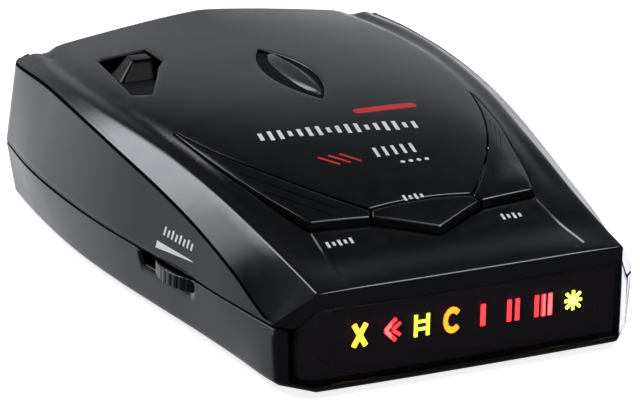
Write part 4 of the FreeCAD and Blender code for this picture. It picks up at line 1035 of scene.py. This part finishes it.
for i, (kind, colour, shapes) in enumerate(indicator_shapes()):
    centre = (i - 3.5) * INDICATOR_GAP
    moved = [[(x + centre, z + INDICATOR_Z) for x, z in shape] for shape in shapes]
    plate("indicator_" + kind, moved, behind_window, glowing("glow_" + kind, colour, 32), spacing=0.5)

# ---------------------------------------------------------------- printed marks

def on_roof(p, lift):
    return cover_top(p, -lift)


def crease(side, steep):
    """The crease that runs down the apron from a wing key's corner: a narrow facet that faces left."""
    line = np.array([[20.9, 17.4], [21.9, 3.0]]) * [side, 1]

    def height(p, lift):
        middle = line[0, 0] + (line[1, 0] - line[0, 0]) * (p[:, 1] - line[0, 1]) / (line[1, 1] - line[0, 1])
        return level(p, apron(p[:, 0], p[:, 1]) + lift + steep * (p[:, 0] - middle + 0.15))
    name = "crease_left" if side < 0 else "crease_right"
    plate(name, [bar(*line[0], *line[1], 0.3)], height, CASE, lift=0.01)


def on_left(p, lift):
    """Left side panel; a plan point is (y, z)."""
    return np.column_stack([-(wall_x(p[:, 0], p[:, 1]) + lift), p[:, 0], p[:, 1]])


# the roof's marks: a long row of strokes with a red bar, small groups in front of it and on the keys
white, red = [], []
for k in range(17):
    x, y = -16.6 + k * 1.7, 45.9 - k * 0.22
    reach = (1.25, 1.6, 1.6, 0.9)[k % 4]
    white.append(bar(x - 0.16 * reach, y - reach, x + 0.16 * reach, y + reach, 0.72))
red.append(rounded(box(2.5, 48.6, 14.6, 50.5), 0.94))
red += [bar(x - 1.3, 36.2, x + 1.3, 33.0, 0.55) for x in (-9.4, -7.4, -5.4)]
white += [bar(-0.6 + k * 1.7, 33.4, -0.2 + k * 1.7, 36.4, 0.6) for k in range(5)]
white += [ring((2.6 + k * 1.5, 30.9), 0.42, 14) for k in range(4)]
for x, step, count in ((-19.6, 1.05, 5), (-2.4, 1.05, 4), (12.6, 1.05, 4)):
    for k in range(count):
        high = (0.75, 0.5)[k % 2]
        y = 20.45 if count == 4 and x < 0 else 13.9
        white.append(bar(x + k * step, y - high, x + 0.1 + k * step, y + high, 0.5))
crease(1, 0.65)
crease(-1, 0.3)
plate("print_white", white, on_roof, WHITE_INK)
plate("print_red", red, on_roof, RED_INK)
side_marks = [[(31.4, 13.1), (42.6, 12.1), (42.6, 13.3), (31.4, 13.25)]]
side_marks += [bar(32.6 + 1.2 * k, 14.7, 32.4 + 1.2 * k, 15.9 + 0.3 * (k % 2), 0.5) for k in range(8)]
plate("print_volume", side_marks, on_left, WHITE_INK)

# ---------------------------------------------------------------- camera, light and floor

camera = placed("camera", bpy.data.cameras.new("camera"))
bpy.context.scene.camera = camera
azimuth, elevation, roll = math.radians(-26.391), math.radians(19.957), math.radians(1.185)
distance_back = 0.68731
back = Vector((math.sin(azimuth) * math.cos(elevation), -math.cos(azimuth) * math.cos(elevation),
               math.sin(elevation)))
right = Vector((math.cos(azimuth), math.sin(azimuth), 0))
up = back.cross(right)
across = right * math.cos(roll) + up * math.sin(roll)
upright = up * math.cos(roll) - right * math.sin(roll)
target = Vector((-3.253, -4.0, 13.422)) * MM
turn = Matrix((across, upright, back)).transposed().to_4x4()
camera.matrix_world = Matrix.Translation(target + back * distance_back) @ turn
camera.data.lens, camera.data.sensor_width = 225, 36
camera.data.clip_start, camera.data.clip_end = 0.01, 20

overhead = bpy.data.lights.new("light_overhead", "AREA")
overhead.shape, overhead.size, overhead.size_y, overhead.energy = "RECTANGLE", 0.5, 0.4, 1.5
lamp = placed("light_overhead", overhead)
lamp.location = (0.25, -0.55, 1.15)
lamp.rotation_mode = "QUATERNION"
lamp.rotation_quaternion = (-lamp.location).to_track_quat("-Z", "Y")

floor = bpy.data.meshes.new("floor")
reach = 6.0
floor.from_pydata([(x, y, 0) for x, y in box(-reach, -reach, reach, reach)], [], [(0, 1, 2, 3)])
ground = placed("floor", floor)
ground.location.z = -0.0002
ground.visible_glossy = False
pale, tree, shader = nodes_of("pale_paper")
feed(shader, "Base Color", blended(tree, noise(tree, 8, 3), (0.84,) * 3, (0.88,) * 3))
feed(shader, "Roughness", 0.9)
feed(shader, "Specular IOR Level", 0.0)
feed(shader, "Emission Color", (1, 1, 1, 1))
feed(shader, "Emission Strength", 0.85)
floor.materials.append(pale)

# The studio, as the case's glossy skin sees it: a pale table behind, dim walls, and soft boxes behind on the
# left, overhead on the right and low on the right.
world = bpy.data.worlds.new("studio")
bpy.context.scene.world = world
world.use_nodes = True
tree = world.node_tree
sky = tree.nodes["Background"]
place = tree.nodes.new("ShaderNodeTexCoord")


def toward(turn_deg, high_deg):
    """Unit vector to a compass point, turned from straight back towards the right, and a height."""
    turned, raised = math.radians(turn_deg), math.radians(high_deg)
    return (math.sin(turned) * math.cos(raised), math.cos(turned) * math.cos(raised), math.sin(raised))


def facing(way):
    node = tree.nodes.new("ShaderNodeVectorMath")
    node.operation = "DOT_PRODUCT"
    feed(node, 0, place.outputs["Generated"])
    feed(node, 1, way)
    return node.outputs["Value"]


def lobe(way, full, none, strength):
    """A soft-edged round patch: angles from its middle where it is full and where it has gone."""
    value = spread(tree, facing(way), 0, strength, math.cos(math.radians(none)), math.cos(math.radians(full)))
    value.node.interpolation_type = "SMOOTHSTEP"
    return value


def combined(kind, first, second):
    node = tree.nodes.new("ShaderNodeMath")
    node.operation = kind
    feed(node, 0, first)
    feed(node, 1, second)
    return node.outputs["Value"]


height, depth = facing((0, 0, 1)), facing(toward(5, 0))
table = spread(tree, depth, 0.06, 1.45, 0.2, 1.0)
below = combined("MULTIPLY", spread(tree, height, 1, 0, -0.1, 0.02),
                 spread(tree, height, 0.5, 1, -0.65, -0.15))
walls = spread(tree, depth, 0.04, 0.5, 0.3, 0.95)
above = spread(tree, height, 0, 1, -0.1, 0.02)
dim = spread(tree, height, 1, 0.12, 0.38, 0.62)
walls = combined("MULTIPLY", combined("MULTIPLY", walls, dim), above)
light = combined("ADD", combined("MULTIPLY", table, below), walls)
for patch in ((toward(-25, 45), 6, 19, 7.0), (toward(85, 62), 8, 16, 9.0), (toward(66, -20), 8, 18, 3.0)):
    light = combined("ADD", light, lobe(*patch))
feed(sky, "Strength", light)
feed(sky, "Color", (0.96, 0.99, 1.05, 1))
bpy.context.scene.view_settings.view_transform = "Standard"
